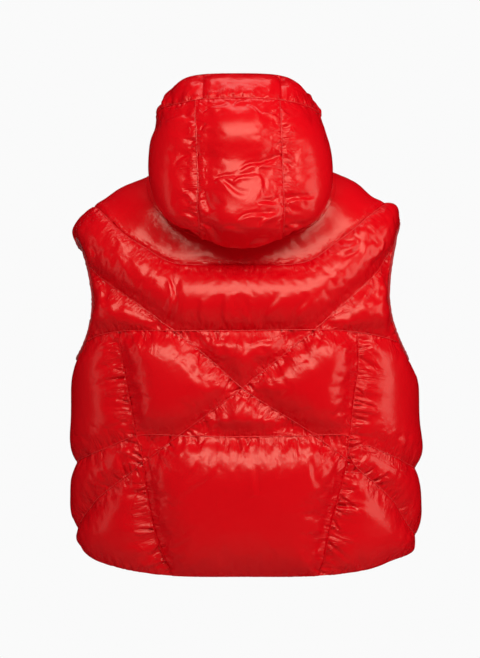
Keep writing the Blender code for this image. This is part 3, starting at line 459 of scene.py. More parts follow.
def apply_modifier(piece, modifier):
    """Apply one modifier of a piece."""
    select_only(piece)
    bpy.ops.object.modifier_apply(modifier=modifier.name)


def subdivide(piece, levels):
    """Smooth subdivision, applied."""
    finer = piece.modifiers.new("finer", "SUBSURF")
    finer.levels = levels
    finer.render_levels = levels
    apply_modifier(piece, finer)


def coordinates(piece):
    """The mesh's points as an array."""
    flat = np.empty(len(piece.data.vertices) * 3)
    piece.data.vertices.foreach_get("co", flat)
    return flat.reshape(-1, 3)


def move_to(piece, places):
    """Write the mesh's points back."""
    piece.data.vertices.foreach_set("co", places.astype(np.float32).ravel())
    piece.data.update()


def opened(piece):
    """A bmesh of a panel, and those of its edges that are sewn on the quilted side."""
    mesh = bmesh.new()
    mesh.from_mesh(piece.data)
    crease = mesh.edges.layers.float.get("crease_edge")
    return mesh, [edge for edge in mesh.edges if edge[crease] > 0.5 and QUILTED in sides_of(edge)]


def sewn_points(piece):
    """Indices of the points held by a seam, and of all that the cloth holds still."""
    mesh, sewn = opened(piece)
    seams = {corner.index for edge in sewn for corner in edge.verts}
    held = seams | {corner.index for face in mesh.faces if face.material_index != QUILTED
                    for corner in face.verts}
    mesh.free()
    return sorted(seams), sorted(held)


def tree_of(marks):
    """A search tree of some marks."""
    tree = KDTree(len(marks))
    for number, mark in enumerate(marks):
        tree.insert(mark, number)
    tree.balance()
    return tree


def bell(off, reach):
    """A smooth share: 1 at no distance off, and next to nothing at twice the reach."""
    return np.exp(-(off / reach) ** 2)


def round_bell(flat, centre, reach):
    """The same share round a place, seen from behind."""
    return np.exp(-((flat - np.array(centre)) ** 2).sum(axis=1) / reach ** 2)


def distance_to(places, marks):
    """Distance from each place to the nearest of some marks."""
    tree = tree_of(marks)
    return np.array([tree.find(place)[2] for place in places])


def fill_with_down(piece, loose, excess, seed):
    """Blow the quilted side up as loose cloth that has more excess along its gathered seams."""
    seams, held = sewn_points(piece)
    before = coordinates(piece)
    away = distance_to(before, before[seams])
    share = np.clip(1 - (away - 0.006) / GATHERED_REACH, 0, 1)
    share = share * share * (3 - 2 * share)
    rng = np.random.default_rng(seed)
    waves = sum(np.sin(before @ rng.normal(0, 55, 3) + rng.uniform(0, 6.28)) for _ in range(5))
    share *= np.clip(0.75 + 0.16 * waves, 0.15, 1.0)
    pins = piece.vertex_groups.new(name="held")
    pins.add(held, 1.0, "REPLACE")
    spare = piece.vertex_groups.new(name="spare")
    for number, weight in enumerate(share):
        spare.add([number], float(weight), "REPLACE")
    cloth = piece.modifiers.new("down", "CLOTH")
    for name, value in {"quality": 4, "mass": 0.2, "tension_stiffness": 20,
                        "compression_stiffness": 20, "shear_stiffness": 8,
                        "bending_stiffness": 0.1, "tension_damping": 5,
                        "compression_damping": 5, "shear_damping": 5, "bending_damping": 0.5,
                        "vertex_group_mass": "held", "vertex_group_shrink": "spare",
                        "shrink_min": -loose, "shrink_max": -excess, "use_pressure": True,
                        "uniform_pressure_force": 9.0}.items():
        setattr(cloth.settings, name, value)
    cloth.settings.effector_weights.gravity = 0
    cloth.collision_settings.use_collision = False
    cloth.collision_settings.use_self_collision = False
    cloth.point_cache.frame_start = 1
    cloth.point_cache.frame_end = CLOTH_FRAMES
    for number in range(1, CLOTH_FRAMES + 1):
        bpy.context.scene.frame_set(number)
    apply_modifier(piece, cloth)
    bpy.context.scene.frame_set(1)
    after = coordinates(piece)
    step = after - before
    length = np.linalg.norm(step, axis=1)[:, None]
    move_to(piece, before + step * np.minimum(1, CLOTH_CAP / np.maximum(length, 1e-9)))
    piece.vertex_groups.clear()


def seam_starts(piece, spacing, rng):
    """Points along the sewn lines, irregularly apart, each with its face's normal and way in."""
    mesh, edges = opened(piece)
    taken, starts = [], []
    for number in rng.permutation(len(edges)):
        edge = edges[number]
        middle = middle_of(edge)
        apart = spacing * rng.uniform(0.8, 1.5)
        if any((middle - other).length < apart for other in taken):
            continue
        taken.append(middle)
        along = heading(*edge.verts)
        for face in edge.link_faces:
            if face.material_index != QUILTED:
                continue
            inwards = face.normal.cross(along)
            if inwards.dot(face.calc_center_median() - middle) < 0:
                inwards.negate()
            starts.append((np.array(middle), np.array(inwards), np.array(face.normal)))
    mesh.free()
    return starts


def quilted_points(piece):
    """Which points lie on the quilted side, and every point's normal."""
    normals = np.empty(len(piece.data.vertices) * 3)
    piece.data.vertices.foreach_get("normal", normals)
    outer = np.zeros(len(piece.data.vertices), bool)
    for face in piece.data.polygons:
        if face.material_index == QUILTED:
            outer[list(face.vertices)] = True
    return outer, normals.reshape(-1, 3)


def groove(v):
    """A groove's section at v widths off its middle: 1 deep, with a low bank at each side."""
    return (1 - 1.1 * v * v) * np.exp(-0.9 * v * v)


# Two sorts of puckers: how far apart, share of the depth and of the length at that seam, and
# the narrowest and widest
PUCKERS = ((0.0054, 1.0, 1.0, (0.0013, 0.0027)),
           (0.0095, 0.45, 2.4, (0.0032, 0.0056)))


def gather_seams(piece, seed, how):
    """Press short, deep puckers and long, shallow streaks into the cloth along its sewn lines.

    how(start, inwards) gives the depth and length of the puckers at a place.
    """
    rng = np.random.default_rng(seed)
    places = coordinates(piece)
    outer, normals = quilted_points(piece)
    lift = np.zeros(len(places))
    for spacing, depth_share, length_share, widths in PUCKERS:
        for start, inwards, up in seam_starts(piece, spacing, rng):
            depth, length = how(start, inwards)
            depth *= depth_share * np.clip(rng.gamma(1.5, 0.5), 0.1, 1.7)
            length *= length_share * rng.uniform(0.3, 1.0) ** 1.2
            width = rng.uniform(*widths) * (0.8 + length / 0.08)
            along = inwards + np.cross(up, inwards) * rng.normal(0, 0.38)
            along /= np.linalg.norm(along)
            across = np.cross(up, along)
            reach = places - start
            near = outer & (np.abs(reach).max(axis=1) < length + 0.01)
            part = reach[near]
            u = part @ along
            v = part @ across / (width * (1 + 0.6 * np.clip(u, 0, None) / length))
            fade = np.clip(1 - u / length, 0, 1) ** 1.1 * np.clip(u / 0.0025, 0, 1)
            fade *= bell(part @ up, 0.024) * (normals[near] @ up > 0)
            lift[near] -= depth * fade * groove(v)
    lift = np.clip(lift, -PUCKER_CAP, PUCKER_CAP)
    move_to(piece, places + normals * lift[:, None])


def press_folds(piece, folds, sharp=1.0):
    """Single creases of the back, in rows of mm: start, end (across, height), depth, width."""
    places = coordinates(piece)
    outer, normals = quilted_points(piece)
    shows = outer * np.clip(normals[:, 1] / 0.3, 0, 1)
    flat = places[:, [0, 2]]
    lift = np.zeros(len(places))
    for fold in np.array(folds) / 1000:
        start, end, (depth, width) = fold[:2], fold[2:4], fold[4:]
        long = np.linalg.norm(end - start)
        along = (end - start) / long
        u = (flat - start) @ along / long
        off = (flat - start) @ np.array([-along[1], along[0]])
        bow = 0.07 * long * np.sin(np.pi * np.clip(u, 0, 1) * 1.7 + width * 900)
        v = (off - bow) / (width / sharp * (1.1 + 1.1 * np.clip(u, 0, 1)))
        fade = np.sin(np.pi * np.clip(u, 0, 1)) ** 0.6
        lift -= 0.85 * depth * fade * (groove(v) - 0.9 * v * np.exp(-0.35 * v * v))
    move_to(piece, places + normals * (lift * shows)[:, None])


def unit(rows):
    """Rows of directions, each brought to length 1."""
    return rows / np.maximum(np.linalg.norm(rows, axis=1), 1e-9)[:, None]


def sewn_paths(piece, chosen):
    """Runs of points along the sewn lines that chosen(place, on_rim) picks."""
    mesh, sewn = opened(piece)
    left = {edge for edge in sewn
            if chosen(np.array(middle_of(edge)), sides_of(edge) != {QUILTED})}
    paths = []
    for edge in sorted(left, key=lambda e: e.index):
        if edge not in left:
            continue
        left.remove(edge)
        run = [edge.verts[0], edge.verts[1]]
        for _ in range(2):
            while True:
                ahead = heading(run[-2], run[-1])
                ways = [(ahead.dot(heading(run[-1], e.other_vert(run[-1]))), e.index, e)
                        for e in run[-1].link_edges if e in left]
                if not ways or max(ways)[0] < SHARPEST_BEND:
                    break
                step = max(ways)[2]
                left.remove(step)
                run.append(step.other_vert(run[-1]))
            run.reverse()
        if len(run) > 6:
            paths.append(np.array([corner.co for corner in run]))
    mesh.free()
    return paths


MAP_SHIFT = 0.37                   # each sewn line has its own stretch of the map
HAIR_REACH = 1.3                   # the fine gathers run on past the puckers by this share
JUMP_FADE = 0.006                  # how far from a jump of the map they fade


def lay_gather_map(piece, how):
    """Map each quilted point by its nearest seam: metres along it, share of its puckers' length."""
    marks, runs, ways = [], [], []
    for number, path in enumerate(sewn_paths(piece, lambda place, on_rim: True)):
        marks.append(path)
        runs.append(run_along(path) + number * MAP_SHIFT)
        ways.append(unit(np.gradient(path, axis=0)))
    marks, runs, ways = np.vstack(marks), np.concatenate(runs), np.vstack(ways)
    tree = tree_of(marks)
    places = coordinates(piece)
    outer, _ = quilted_points(piece)
    found = np.tile((0.0, 2.0), (len(places), 1))
    for number in np.flatnonzero(outer):
        _, nearest, away = tree.find(places[number])
        step = places[number] - marks[nearest]
        length = how(marks[nearest], step / max(away, 1e-6))[1]
        found[number] = (runs[nearest] + step @ ways[nearest], away / (HAIR_REACH * length))
    # where two seams are equally near, the map jumps: the gathers fade out before it
    edges = np.empty(2 * len(piece.data.edges), np.int32)
    piece.data.edges.foreach_get("vertices", edges)
    edges = edges.reshape(-1, 2)
    start, end = edges.T
    span = np.linalg.norm(places[start] - places[end], axis=1)
    rise = np.abs(found[start, 0] - found[end, 0])
    jumps = outer[start] & outer[end] & (rise > 2.5 * span + 0.001)
    if jumps.any():
        near_jump = distance_to(places, places[np.unique(edges[jumps])])
        found[:, 1] += 1.4 * bell(near_jump, JUMP_FADE)
    corners = np.empty(len(piece.data.loops), np.int32)
    piece.data.loops.foreach_get("vertex_index", corners)
    seam_map = piece.data.uv_layers.new(name="gathers")
    seam_map.data.foreach_set("uv", found[corners].astype(np.float32).ravel())


def raise_seams(piece, inside, height, reach, centre):
    """Lift the sewn edges that lie inside the vest away from a centre, so that they sink less."""
    seams, _ = sewn_points(piece)
    places = coordinates(piece)
    outer, _ = quilted_points(piece)
    marks = [place for place in places[seams] if inside(place)]
    if not marks:
        return
    out = unit(places - centre(places))
    lift = height * bell(distance_to(places, marks), reach) * outer
    move_to(piece, places + out * lift[:, None])


def close_seams(piece):
    """Push the panel's sewn edge out sideways, so that it meets the next panel's."""
    push = np.zeros((len(piece.data.vertices), 3))
    touches = np.zeros(len(piece.data.vertices), bool)
    for face in piece.data.polygons:
        if face.material_index == EDGE:
            push[list(face.vertices)] += face.normal
        elif face.material_index == QUILTED:
            touches[list(face.vertices)] = True
    push[~touches] = 0
    length = np.linalg.norm(push, axis=1)[:, None]
    push *= SEAM_OVERLAP * (length > 0) / np.maximum(length, 1e-9)
    move_to(piece, coordinates(piece) + push)


# Soft places of the whole vest, the same for all its pieces: centre (across, height), reach,
# and how far the cloth stands out there (across, height)
SOFT_PLACES = (
    ((0.246, -0.034), 0.018, (-0.004, -0.002)),
    ((-0.205, -0.005), 0.030, (0.003, -0.005)),
    ((-0.236, -0.568), 0.030, (0.004, 0.004)),
    ((0.124, 0.122), 0.017, (0.008, 0.003)),
    ((-0.117, 0.120), 0.014, (-0.003, 0.002)),
    ((0.262, -0.260), 0.020, (0.004, 0.000)),
)


def settle(piece):
    """Let the piece stand out at the vest's soft places."""
    places = coordinates(piece)
    for centre, reach, (across, height) in SOFT_PLACES:
        share = round_bell(places[:, [0, 2]], centre, reach)
        places[:, 0] += share * across
        places[:, 2] += share * height
    move_to(piece, places)


def body_core(places):
    """The upright axis of the vest's body, or under the shoulders the middle of their roll."""
    core = np.zeros_like(places)
    core[:, 2] = np.minimum(places[:, 2], -0.13)
    return core


YOKE_LINE = ((0.2188, -0.0250), (0.1773, -0.0660), (0.1311, -0.0995), (0.1000, -0.1175),
             (0.0600, -0.1205), (0.0000, -0.1205), (-0.0600, -0.1205), (-0.0950, -0.1150),
             (-0.1267, -0.0930), (-0.1682, -0.0590), (-0.2084, -0.0247))
yoke_marks = smooth_curve(YOKE_LINE)


def near_yoke_line(place):
    """The seam between the yoke and the upper back, which lies almost flat over the shoulders."""
    return place[1] > -0.03 and np.hypot(*(yoke_marks - place[[0, 2]]).T).min() < 0.006


def yoke_line_end(place):
    """The last stretch of that seam before the armholes."""
    return abs(place[0]) > 0.165 and near_yoke_line(place)


def sew_panel(node, seed, how, loose=0.005, excess=0.08, last_levels=1, stitched=None,
              wall_turn=WALL_TURN, folds=(), sharp=1.0, shape=None, inside=None):
    """One padded panel from its plain solid, in place of it."""
    piece = quilted_copy(node, 2, wall_turn, stitched)
    fill_with_down(piece, loose, excess, seed)
    subdivide(piece, last_levels)
    if shape:
        shape(piece)
    if inside:
        for raised, height, reach in ((inside, 0.0030, 0.009), (near_yoke_line, 0.0055, 0.016),
                                      (yoke_line_end, 0.0060, 0.020)):
            raise_seams(piece, raised, height, reach, body_core)
    gather_seams(piece, seed + 50, how)
    if folds:
        press_folds(piece, folds, sharp)
    close_seams(piece)
    settle(piece)
    lay_gather_map(piece, how)
    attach(piece, "vest")
    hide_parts(node)
    return piece


def evenly(path, pitch):
    """Points of a path at an even pitch, smoothed a little."""
    for _ in range(2):
        path = np.vstack((path[:1], (path[:-2] + 2 * path[1:-1] + path[2:]) / 4, path[-1:]))
    run = run_along(path)
    at = np.arange(0, run[-1], pitch)
    return np.column_stack([np.interp(at, run, path[:, k]) for k in range(3)])


def as_trim(piece, node=None):
    """A sewn-on piece rides with the vest, in one of its finishes and in place of a plain solid."""
    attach(piece, "vest")
    if node:
        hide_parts(node)


def felled_seam(name, paths):
    """The turned-in nylon that fills the bottom of a sewn line, as a roll 2 mm thick."""
    curve = bpy.data.curves.new(name, "CURVE")
    curve.dimensions = "3D"
    curve.bevel_depth = 0.0010
    curve.bevel_resolution = 1
    curve.use_fill_caps = True
    for path in paths:
        points = evenly(path, 0.003)
        spline = curve.splines.new("POLY")
        spline.points.add(len(points) - 1)
        spline.points.foreach_set("co", np.column_stack((points, np.ones(len(points)))).ravel())
    piece = bpy.data.objects.new(name, curve)
    bpy.context.scene.collection.objects.link(piece)
    select_only(piece)
    bpy.ops.object.convert(target="MESH")
    piece.data.materials.append(shell_nylon)
    bpy.ops.object.shade_smooth()
    as_trim(piece)


# Spun polyester thread, its ply drawn ten times as coarse as it is: a matt, paler red line
sewing_thread = new_material("spun_polyester_thread")
at = add_node(sewing_thread, "TexCoord", {}).outputs["Object"]
ply = add_node(sewing_thread, "TexNoise", {"Vector": at, "Scale": 900.0, "Detail": 2.0})
finish_material(sewing_thread, ply.outputs["Fac"], "B8141A", "D63A34", {"Roughness": 0.55},
                {"Height": ply.outputs["Fac"], "Strength": 0.4, "Distance": 0.0002})

def used_up(piece):
    """Points and faces of a pattern piece, which is removed."""
    points, faces = coordinates(piece), [tuple(face.vertices) for face in piece.data.polygons]
    bpy.data.objects.remove(piece)
    return points, faces


def copies_along(name, pattern, rows, finish):
    """One trim piece of many copies of a pattern: each row is a place and its three axes."""
    shape, shape_faces = pattern
    points, faces = [], []
    for place, *axes in rows:
        first = len(points) * len(shape)
        points.append(place + shape @ np.array(axes))
        turn = 1 if np.linalg.det(axes) > 0 else -1
        faces += [tuple(first + k for k in face)[::turn] for face in shape_faces]
    as_trim(new_piece(name, (np.vstack(points), faces), finish))


STITCH_PITCH = 0.0040
STITCH_SIZE = (0.0014, 0.00042, 0.00034)
STITCH_STAND = 0.0009              # how far a stitch stands off its seam's middle
select_only()
bpy.ops.mesh.primitive_uv_sphere_add(segments=6, ring_count=3, radius=1.0)
one_stitch, stitch_faces = used_up(bpy.context.object)
one_stitch = one_stitch * STITCH_SIZE, stitch_faces


def lockstitches(name, paths, centre):
    """A row of lockstitches laid along each path, just proud of the felled seam."""
    rows = []
    for path in paths:
        row = evenly(path, STITCH_PITCH)
        if len(row) < 3:
            continue
        along = unit(np.gradient(row, axis=0))
        out_of = row - centre(row)
        out_of = unit(out_of - (out_of * along).sum(axis=1)[:, None] * along)
        rows += zip(row + out_of * STITCH_STAND, along, np.cross(out_of, along), out_of)
    copies_along(name, one_stitch, rows, sewing_thread)


def quilting(place, on_rim):
    """The lines stitched across a panel."""
    return not on_rim


def close_and_stitch(piece, chosen, stitched=quilting, centre=body_core):
    """Fill the chosen sewn lines of a panel, and stitch those that show their thread."""
    base = piece.name.replace("_quilted", "")
    felled_seam(base + "_seams", sewn_paths(piece, chosen))
    lockstitches(base + "_stitches", sewn_paths(piece, stitched), centre)


def lower_back_gathers(start, inwards):
    """Puckers hang from the waist line and under the cross; few stand over them."""
    down = -inwards[2]
    if down > 0.3:
        return 0.0026, 0.042
    return (0.0016, 0.026) if down > -0.3 else (0.0009, 0.016)


CROSS_FROM_LEFT = ((0.2280, -0.1230), (0.1761, -0.1610), (0.1183, -0.2030), (0.0619, -0.2459),
                   (0.0000, -0.3018), (-0.1017, -0.3691), (-0.1739, -0.4268), (-0.2082, -0.4570),
                   (-0.2327, -0.4835), (-0.2480, -0.5080))
CROSS_FROM_RIGHT = ((-0.2240, -0.1000), (-0.1871, -0.1420), (-0.1364, -0.1883),
                    (-0.0663, -0.2474), (0.0000, -0.3018), (0.0958, -0.3752), (0.1617, -0.4280),
                    (0.2066, -0.4635), (0.2310, -0.4883), (0.2440, -0.5060))
WAIST_LINE = ((0.2500, -0.4160), (0.2065, -0.3960), (0.1500, -0.3720), (0.0958, -0.3720),
              (0.0000, -0.3738), (-0.0973, -0.3720), (-0.1541, -0.3728), (-0.2081, -0.3990),
              (-0.2520, -0.4200))
on_back_lines = stitched_on_curves((CROSS_FROM_LEFT, CROSS_FROM_RIGHT, WAIST_LINE))
LOWER_BACK_FOLDS = (
    (106.6, -255.0, 37.7, -300.8, 1.0, 4.0),
    (-100.0, -250.0, -48.0, -276.0, 1.0, 4.0),
    (32.0, -403.0, 89.0, -483.0, 1.0, 4.0),
    (62.0, -400.0, 78.0, -440.0, 1.2, 3.0),
    (-7.4, -403.0, -30.6, -454.5, 1.0, 3.5),
    (-87.3, -397.0, -121.4, -449.0, 1.2, 4.0),
    (-50.0, -400.0, -56.0, -433.0, 1.0, 2.8),
    (6.0, -230.0, -15.0, -262.0, 1.0, 4.0),
)
lower_back = sew_panel("back_lower", 1, lower_back_gathers, loose=0.012,
                       folds=LOWER_BACK_FOLDS, stitched=on_back_lines,
                       inside=lambda place: place[2] > -0.56)
close_and_stitch(lower_back, lambda place, on_rim: not on_rim or -0.56 < place[2] < -0.226)

# ------------------------------------------------------------------ upper back and yoke
# The upper back is one full roll from armhole to armhole, sewn on under the yoke and quilted where
# the cross runs on. The yoke over the shoulders holds the least down and lies nearly flat.

UPPER_BACK_FOLDS = (
    (103.4, -135.0, 104.0, -216.5, 3.4, 2.8),
    (-178.5, -84.5, -150.0, -113.0, 2.6, 3.2),
    (-198.0, -135.0, -189.0, -181.0, 2.4, 3.2),
    (-218.0, -84.5, -198.0, -124.0, 2.6, 3.2),
    (214.5, -135.0, 199.8, -181.0, 2.4, 3.2),
    (228.0, -90.0, 220.0, -118.0, 2.4, 3.0),
    (25.0, -212.0, 33.0, -165.0, 1.8, 3.2),
    (-30.0, -212.0, -48.0, -160.0, 1.8, 3.4),
    (-75.0, -212.0, -93.0, -162.0, 2.0, 3.4),
    (60.0, -212.0, 68.0, -172.0, 1.8, 3.0),
)


def upper_back_gathers(start, inwards):
    """Shallow, short puckers all round."""
    return 0.0015, 0.024


def fuller_tip(piece):
    """The left shoulder's tip is stuffed a little fuller than the right one."""
    places = coordinates(piece)
    outer, _ = quilted_points(piece)
    places[:, 0] += 0.008 * round_bell(places[:, [0, 2]], (0.258, -0.066), 0.017) * outer
    move_to(piece, places)


upper_back = sew_panel("back_upper", 2, upper_back_gathers, loose=0.008,
                       stitched=on_back_lines, folds=UPPER_BACK_FOLDS, shape=fuller_tip,
                       inside=lambda place: place[1] > 0.078 or place[2] > -0.06)


def on_chest_line(place, on_rim):
    """The panel's lower rim and its quilting, not the armholes."""
    return not on_rim or (place[2] < -0.205 and abs(place[0]) < 0.232)


close_and_stitch(upper_back, on_chest_line, on_chest_line)


def yoke_gathers(start, inwards):
    """Hardly any: the yoke is cut to lie smooth."""
    return 0.0008, 0.010


yoke = sew_panel("back_yoke", 3, yoke_gathers, loose=0.0, excess=0.03,
                 inside=lambda place: np.hypot(place[0], place[1] - 0.01) > 0.125)


def on_yoke_line(place, on_rim):
    """The yoke's long lower rim."""
    return near_yoke_line(place)


close_and_stitch(yoke, on_yoke_line, on_yoke_line)

# ------------------------------------------------------------------ side panels
# A down-filled panel under each arm, from the princess seam round to the front, quilted along the
# cross's ends. Its nylon is cut longer than the lower back's and gathered into the princess seam.

def side_gathers(start, inwards):
    """The princess seams are gathered far more than the rest."""
    if start[1] > 0.09 and abs(inwards[0]) > 0.5 and abs(start[0]) < 0.2:
        return 0.0036, 0.050
    return 0.0018, 0.030


def inside_side(place):
    """Not the hem, and not the armhole."""
    return place[2] > -0.53 and (abs(place[1]) > 0.078 or abs(place[0]) < 0.2)


side_panels = [sew_panel(node, seed, side_gathers, stitched=stitched_dips, inside=inside_side)
               for node, seed in (("side_left", 4), ("side_right", 5))]
for panel in side_panels:
    close_and_stitch(panel, quilting)

# ------------------------------------------------------------------ fronts
# Two plain down-filled fronts, quilted along three level lines, sewn to the yoke at the shoulders
# and to the zip's tapes at the middle.

on_front_lines = stitched_at_heights(-0.140, -0.232, -0.400)


def front_gathers(start, inwards):
    """Puckers hang from the level lines; few stand over them."""
    return (0.0026, 0.040) if inwards[2] < -0.3 else (0.0018, 0.026)


def on_front_seams(place, on_rim):
    """The quilting and the sewn rim, without the zip's edge, the hem and the armhole."""
    return not on_rim or (0.06 < abs(place[0]) and -0.53 < place[2]
                          and (place[2] > -0.1 or place[1] < -0.085))


fronts = [sew_panel(node, seed, front_gathers, stitched=on_front_lines)
          for node, seed in (("front_left", 6), ("front_right", 7))]
for panel in fronts:
    close_and_stitch(panel, on_front_seams)

# ------------------------------------------------------------------ hood
# Three down-filled panels and a front band, less full than the body, so that their seams lie
# shallower and the slack nylon crumples in sharp single creases.

def hood_core(places):
    """The middle of the hood's dome."""
    return np.broadcast_to((0.0, 0.03, 0.03), places.shape)


def inside_hood(place):
    """The seams between the hood's panels, not its two open edges."""
    return -0.09 < place[2] < 0.14 and place[1] > 0.0


def shallow_seams(piece):
    """Raise the hood's seams, as one dome, and let its back slump into a ledge low down."""
    raise_seams(piece, inside_hood, 0.0070, 0.017, hood_core)
    places = coordinates(piece)
    outer, _ = quilted_points(piece)
    height = places[:, 2]
    ledge = 0.0170 * bell(height + 0.073, 0.038) * np.clip((height + 0.100) / 0.030, 0, 1)
    slump = ledge - 0.0115 * bell(height - 0.028, 0.031)
    slump *= bell(places[:, 0], 0.095) * np.clip(places[:, 1] / 0.06, 0, 1) * outer
    places[:, 1] += slump
    move_to(piece, places)


WIDEST_GAP = 0.012                 # no opening of the neck's seam is wider, before it is shut
DRAWN_REACH = 0.018                # how far up the panel the drawn-down rim is felt
BAND_TURN = (0.066, 0.095, 0.014)  # where the side panels turn in: across, to the front, down
BAND_TURN_REACH = 0.018


def neck_rim(pieces):
    """Points of the panels' sewn rims round the front of the neck."""
    return np.vstack([path for piece in pieces for path in sewn_paths(
        piece, lambda place, on_rim: on_rim and place[1] < -0.06 and -0.075 < place[2] < 0.02)])


def sewn_to_fronts(piece):
    """Draw a side panel's lower rim down on to the fronts, so that the neck's seam is shut."""
    shallow_seams(piece)
    front_marks, marks = neck_rim(fronts), neck_rim([piece])
    gaps = front_marks[None] - marks[:, None]
    nearest = np.linalg.norm(gaps, axis=2).argmin(axis=1)
    gaps = gaps[np.arange(len(marks)), nearest]
    width = np.linalg.norm(gaps, axis=1)
    marks, gaps = marks[width < WIDEST_GAP], gaps[width < WIDEST_GAP]
    gaps *= np.clip((-0.068 - marks[:, 1]) / 0.012, 0, 1)[:, None]
    places = coordinates(piece)
    away = np.linalg.norm(places[:, None] - marks[None], axis=2)
    least = away.min(axis=1, keepdims=True)
    share = np.exp((least ** 2 - away ** 2) / 0.006 ** 2)
    share /= share.sum(axis=1, keepdims=True)
    places += share @ gaps * bell(least, DRAWN_REACH)
    # the panel turns in sharply under the band, where its plain side is kept well behind
    outer, _ = quilted_points(piece)
    turn = (np.abs(places) - BAND_TURN) / BAND_TURN_REACH
    behind = 0.005 * np.exp(-(turn ** 2).sum(axis=1)) * ~outer * (places[:, 1] < 0)
    places[:, 0] -= 0.57 * behind * np.sign(places[:, 0])
    places[:, 1] += 0.82 * behind
    move_to(piece, places)


def hood_gathers(start, inwards):
    """Sharp puckers outside the two long seams and above the band's seam, and few elsewhere."""
    if abs(inwards[0]) > 0.5 and inwards[0] * start[0] > 0 and start[1] > 0.05:
        return 0.0026, 0.026
    if inwards[2] > 0.6 and start[2] > 0.08:
        return 0.0028, 0.030
    return 0.0010, 0.018


HOOD_CENTRE_FOLDS = (
    (59.1, 100.5, 20.8, 120.0, 2.2, 3.5),
    (14.1, 112.3, -5.7, 125.4, 1.8, 3.0),
    (-8.0, 113.5, -32.4, 100.5, 2.0, 3.5),
    (-30.0, 101.0, -59.0, 98.5, 1.8, 3.0),
    (60.0, 73.0, 53.0, 84.0, 1.8, 2.8),
    (40.0, -1.0, 4.0, 12.5, 2.4, 3.8),
    (4.0, 12.5, -54.0, 39.0, 2.6, 4.0),
    (16.0, -3.0, -19.0, 14.5, 2.0, 3.2),
    (-19.0, 14.5, -54.0, 43.0, 2.2, 3.4),
    (-25.4, 10.0, -38.5, -22.5, 1.6, 3.6),
    (38.5, 2.0, -10.0, -20.5, 1.6, 4.5),
    (60.0, -13.5, 43.0, -48.0, 3.0, 5.0),
    (-23.0, -36.0, -54.0, -25.0, 2.6, 4.2),
    (7.7, -62.0, -54.0, -36.0, 2.6, 4.0),
    (-23.0, -69.0, -41.0, -44.0, 2.0, 3.2),
    (62.5, -64.0, 47.0, -88.0, 2.4, 3.2),
    (62.5, -62.5, 16.3, -93.0, 2.8, 3.8),
    (32.0, -73.0, -5.7, -67.0, 1.6, 3.6),
    (-7.7, -95.0, -43.0, -78.0, 2.2, 3.6),
)
HOOD_LEFT_FOLDS = (
    (98.0, 23.5, 63.0, 52.0, 2.4, 3.6),
    (76.0, 48.0, 63.0, 70.0, 2.2, 3.2),
    (82.5, 87.5, 63.0, 92.0, 1.4, 3.0),
    (87.0, -14.0, 65.0, -20.5, 2.0, 3.2),
    (89.0, -47.0, 67.0, -50.0, 2.0, 3.2),
    (115.0, 90.0, 90.0, 108.0, 1.8, 4.0),
)
HOOD_RIGHT_FOLDS = (
    (-56.5, -36.0, -107.5, -14.0, 2.4, 3.4),
    (-56.5, -73.5, -107.5, -56.0, 2.6, 3.8),
    (-61.0, 48.0, -81.0, 36.5, 2.0, 3.4),
    (-62.0, 73.0, -69.0, 80.0, 1.8, 2.8),
    (-64.0, 26.0, -74.0, 20.0, 1.8, 3.2),
)


def band_seams(piece):
    """The hood's two long seams run on over the band, as stitched grooves."""
    shallow_seams(piece)
    places = coordinates(piece)
    outer, normals = quilted_points(piece)
    lift = np.zeros(len(places))
    for across in (0.0600, -0.0610):
        off = np.abs(places[:, 0] - across)
        lift -= 0.0030 * bell(off, 0.0030) + 0.0030 * bell(off, 0.0120)
    lift *= np.clip((0.183 - places[:, 2]) / 0.010, 0, 1)
    lift *= outer * np.clip(normals[:, 1] / 0.2, 0, 1)
    move_to(piece, places + normals * lift[:, None])


hood = [
    sew_panel("hood_centre", 8, hood_gathers, wall_turn=30, folds=HOOD_CENTRE_FOLDS,
              sharp=1.35, last_levels=2, shape=shallow_seams),
    *(sew_panel(node, seed, hood_gathers, folds=folds, sharp=1.2, shape=sewn_to_fronts)
      for node, seed, folds in (("hood_side_left", 9, HOOD_LEFT_FOLDS),
                                ("hood_side_right", 10, HOOD_RIGHT_FOLDS))),
    sew_panel("hood_band", 11, hood_gathers, shape=band_seams),
]


def hood_seam_lines(place, on_rim):
    """The seams between the hood's panels, not its two open edges."""
    return inside_hood(place) and place[2] > -0.075


for panel in hood[:3]:
    close_and_stitch(panel, hood_seam_lines, hood_seam_lines, hood_core)


def thin_inner_side(piece):
    """Collapse the mesh of a panel's plain inner side to a third, once it is shaped."""
    quilted, _ = quilted_points(piece)
    inner = np.flatnonzero(~quilted)
    group = piece.vertex_groups.new(name="inner")
    group.add(inner.tolist(), 1.0, "REPLACE")
    thinner = piece.modifiers.new("thinner", "DECIMATE")
    thinner.ratio = 1 - 0.66 * len(inner) / len(quilted)
    thinner.vertex_group = "inner"
    apply_modifier(piece, thinner)
    piece.vertex_groups.clear()


for piece in (lower_back, upper_back, yoke, *side_panels, *fronts, *hood):
    thin_inner_side(piece)

# ------------------------------------------------------------------ flap under the hood
# A flat single flap of the same coated nylon, cut to the neck's curve and sewn in with the hood;
# it lies on the yoke. Its free edge is turned and stitched, and waves a little.


def round_edges(piece, width, segments, from_turn):
    """Round the edges at which the surface turns by at least so many degrees."""
    rounded = piece.modifiers.new("rounded", "BEVEL")
    rounded.width = width
    rounded.segments = segments
    rounded.limit_method = "ANGLE"
    rounded.angle_limit = math.radians(from_turn)
    apply_modifier(piece, rounded)


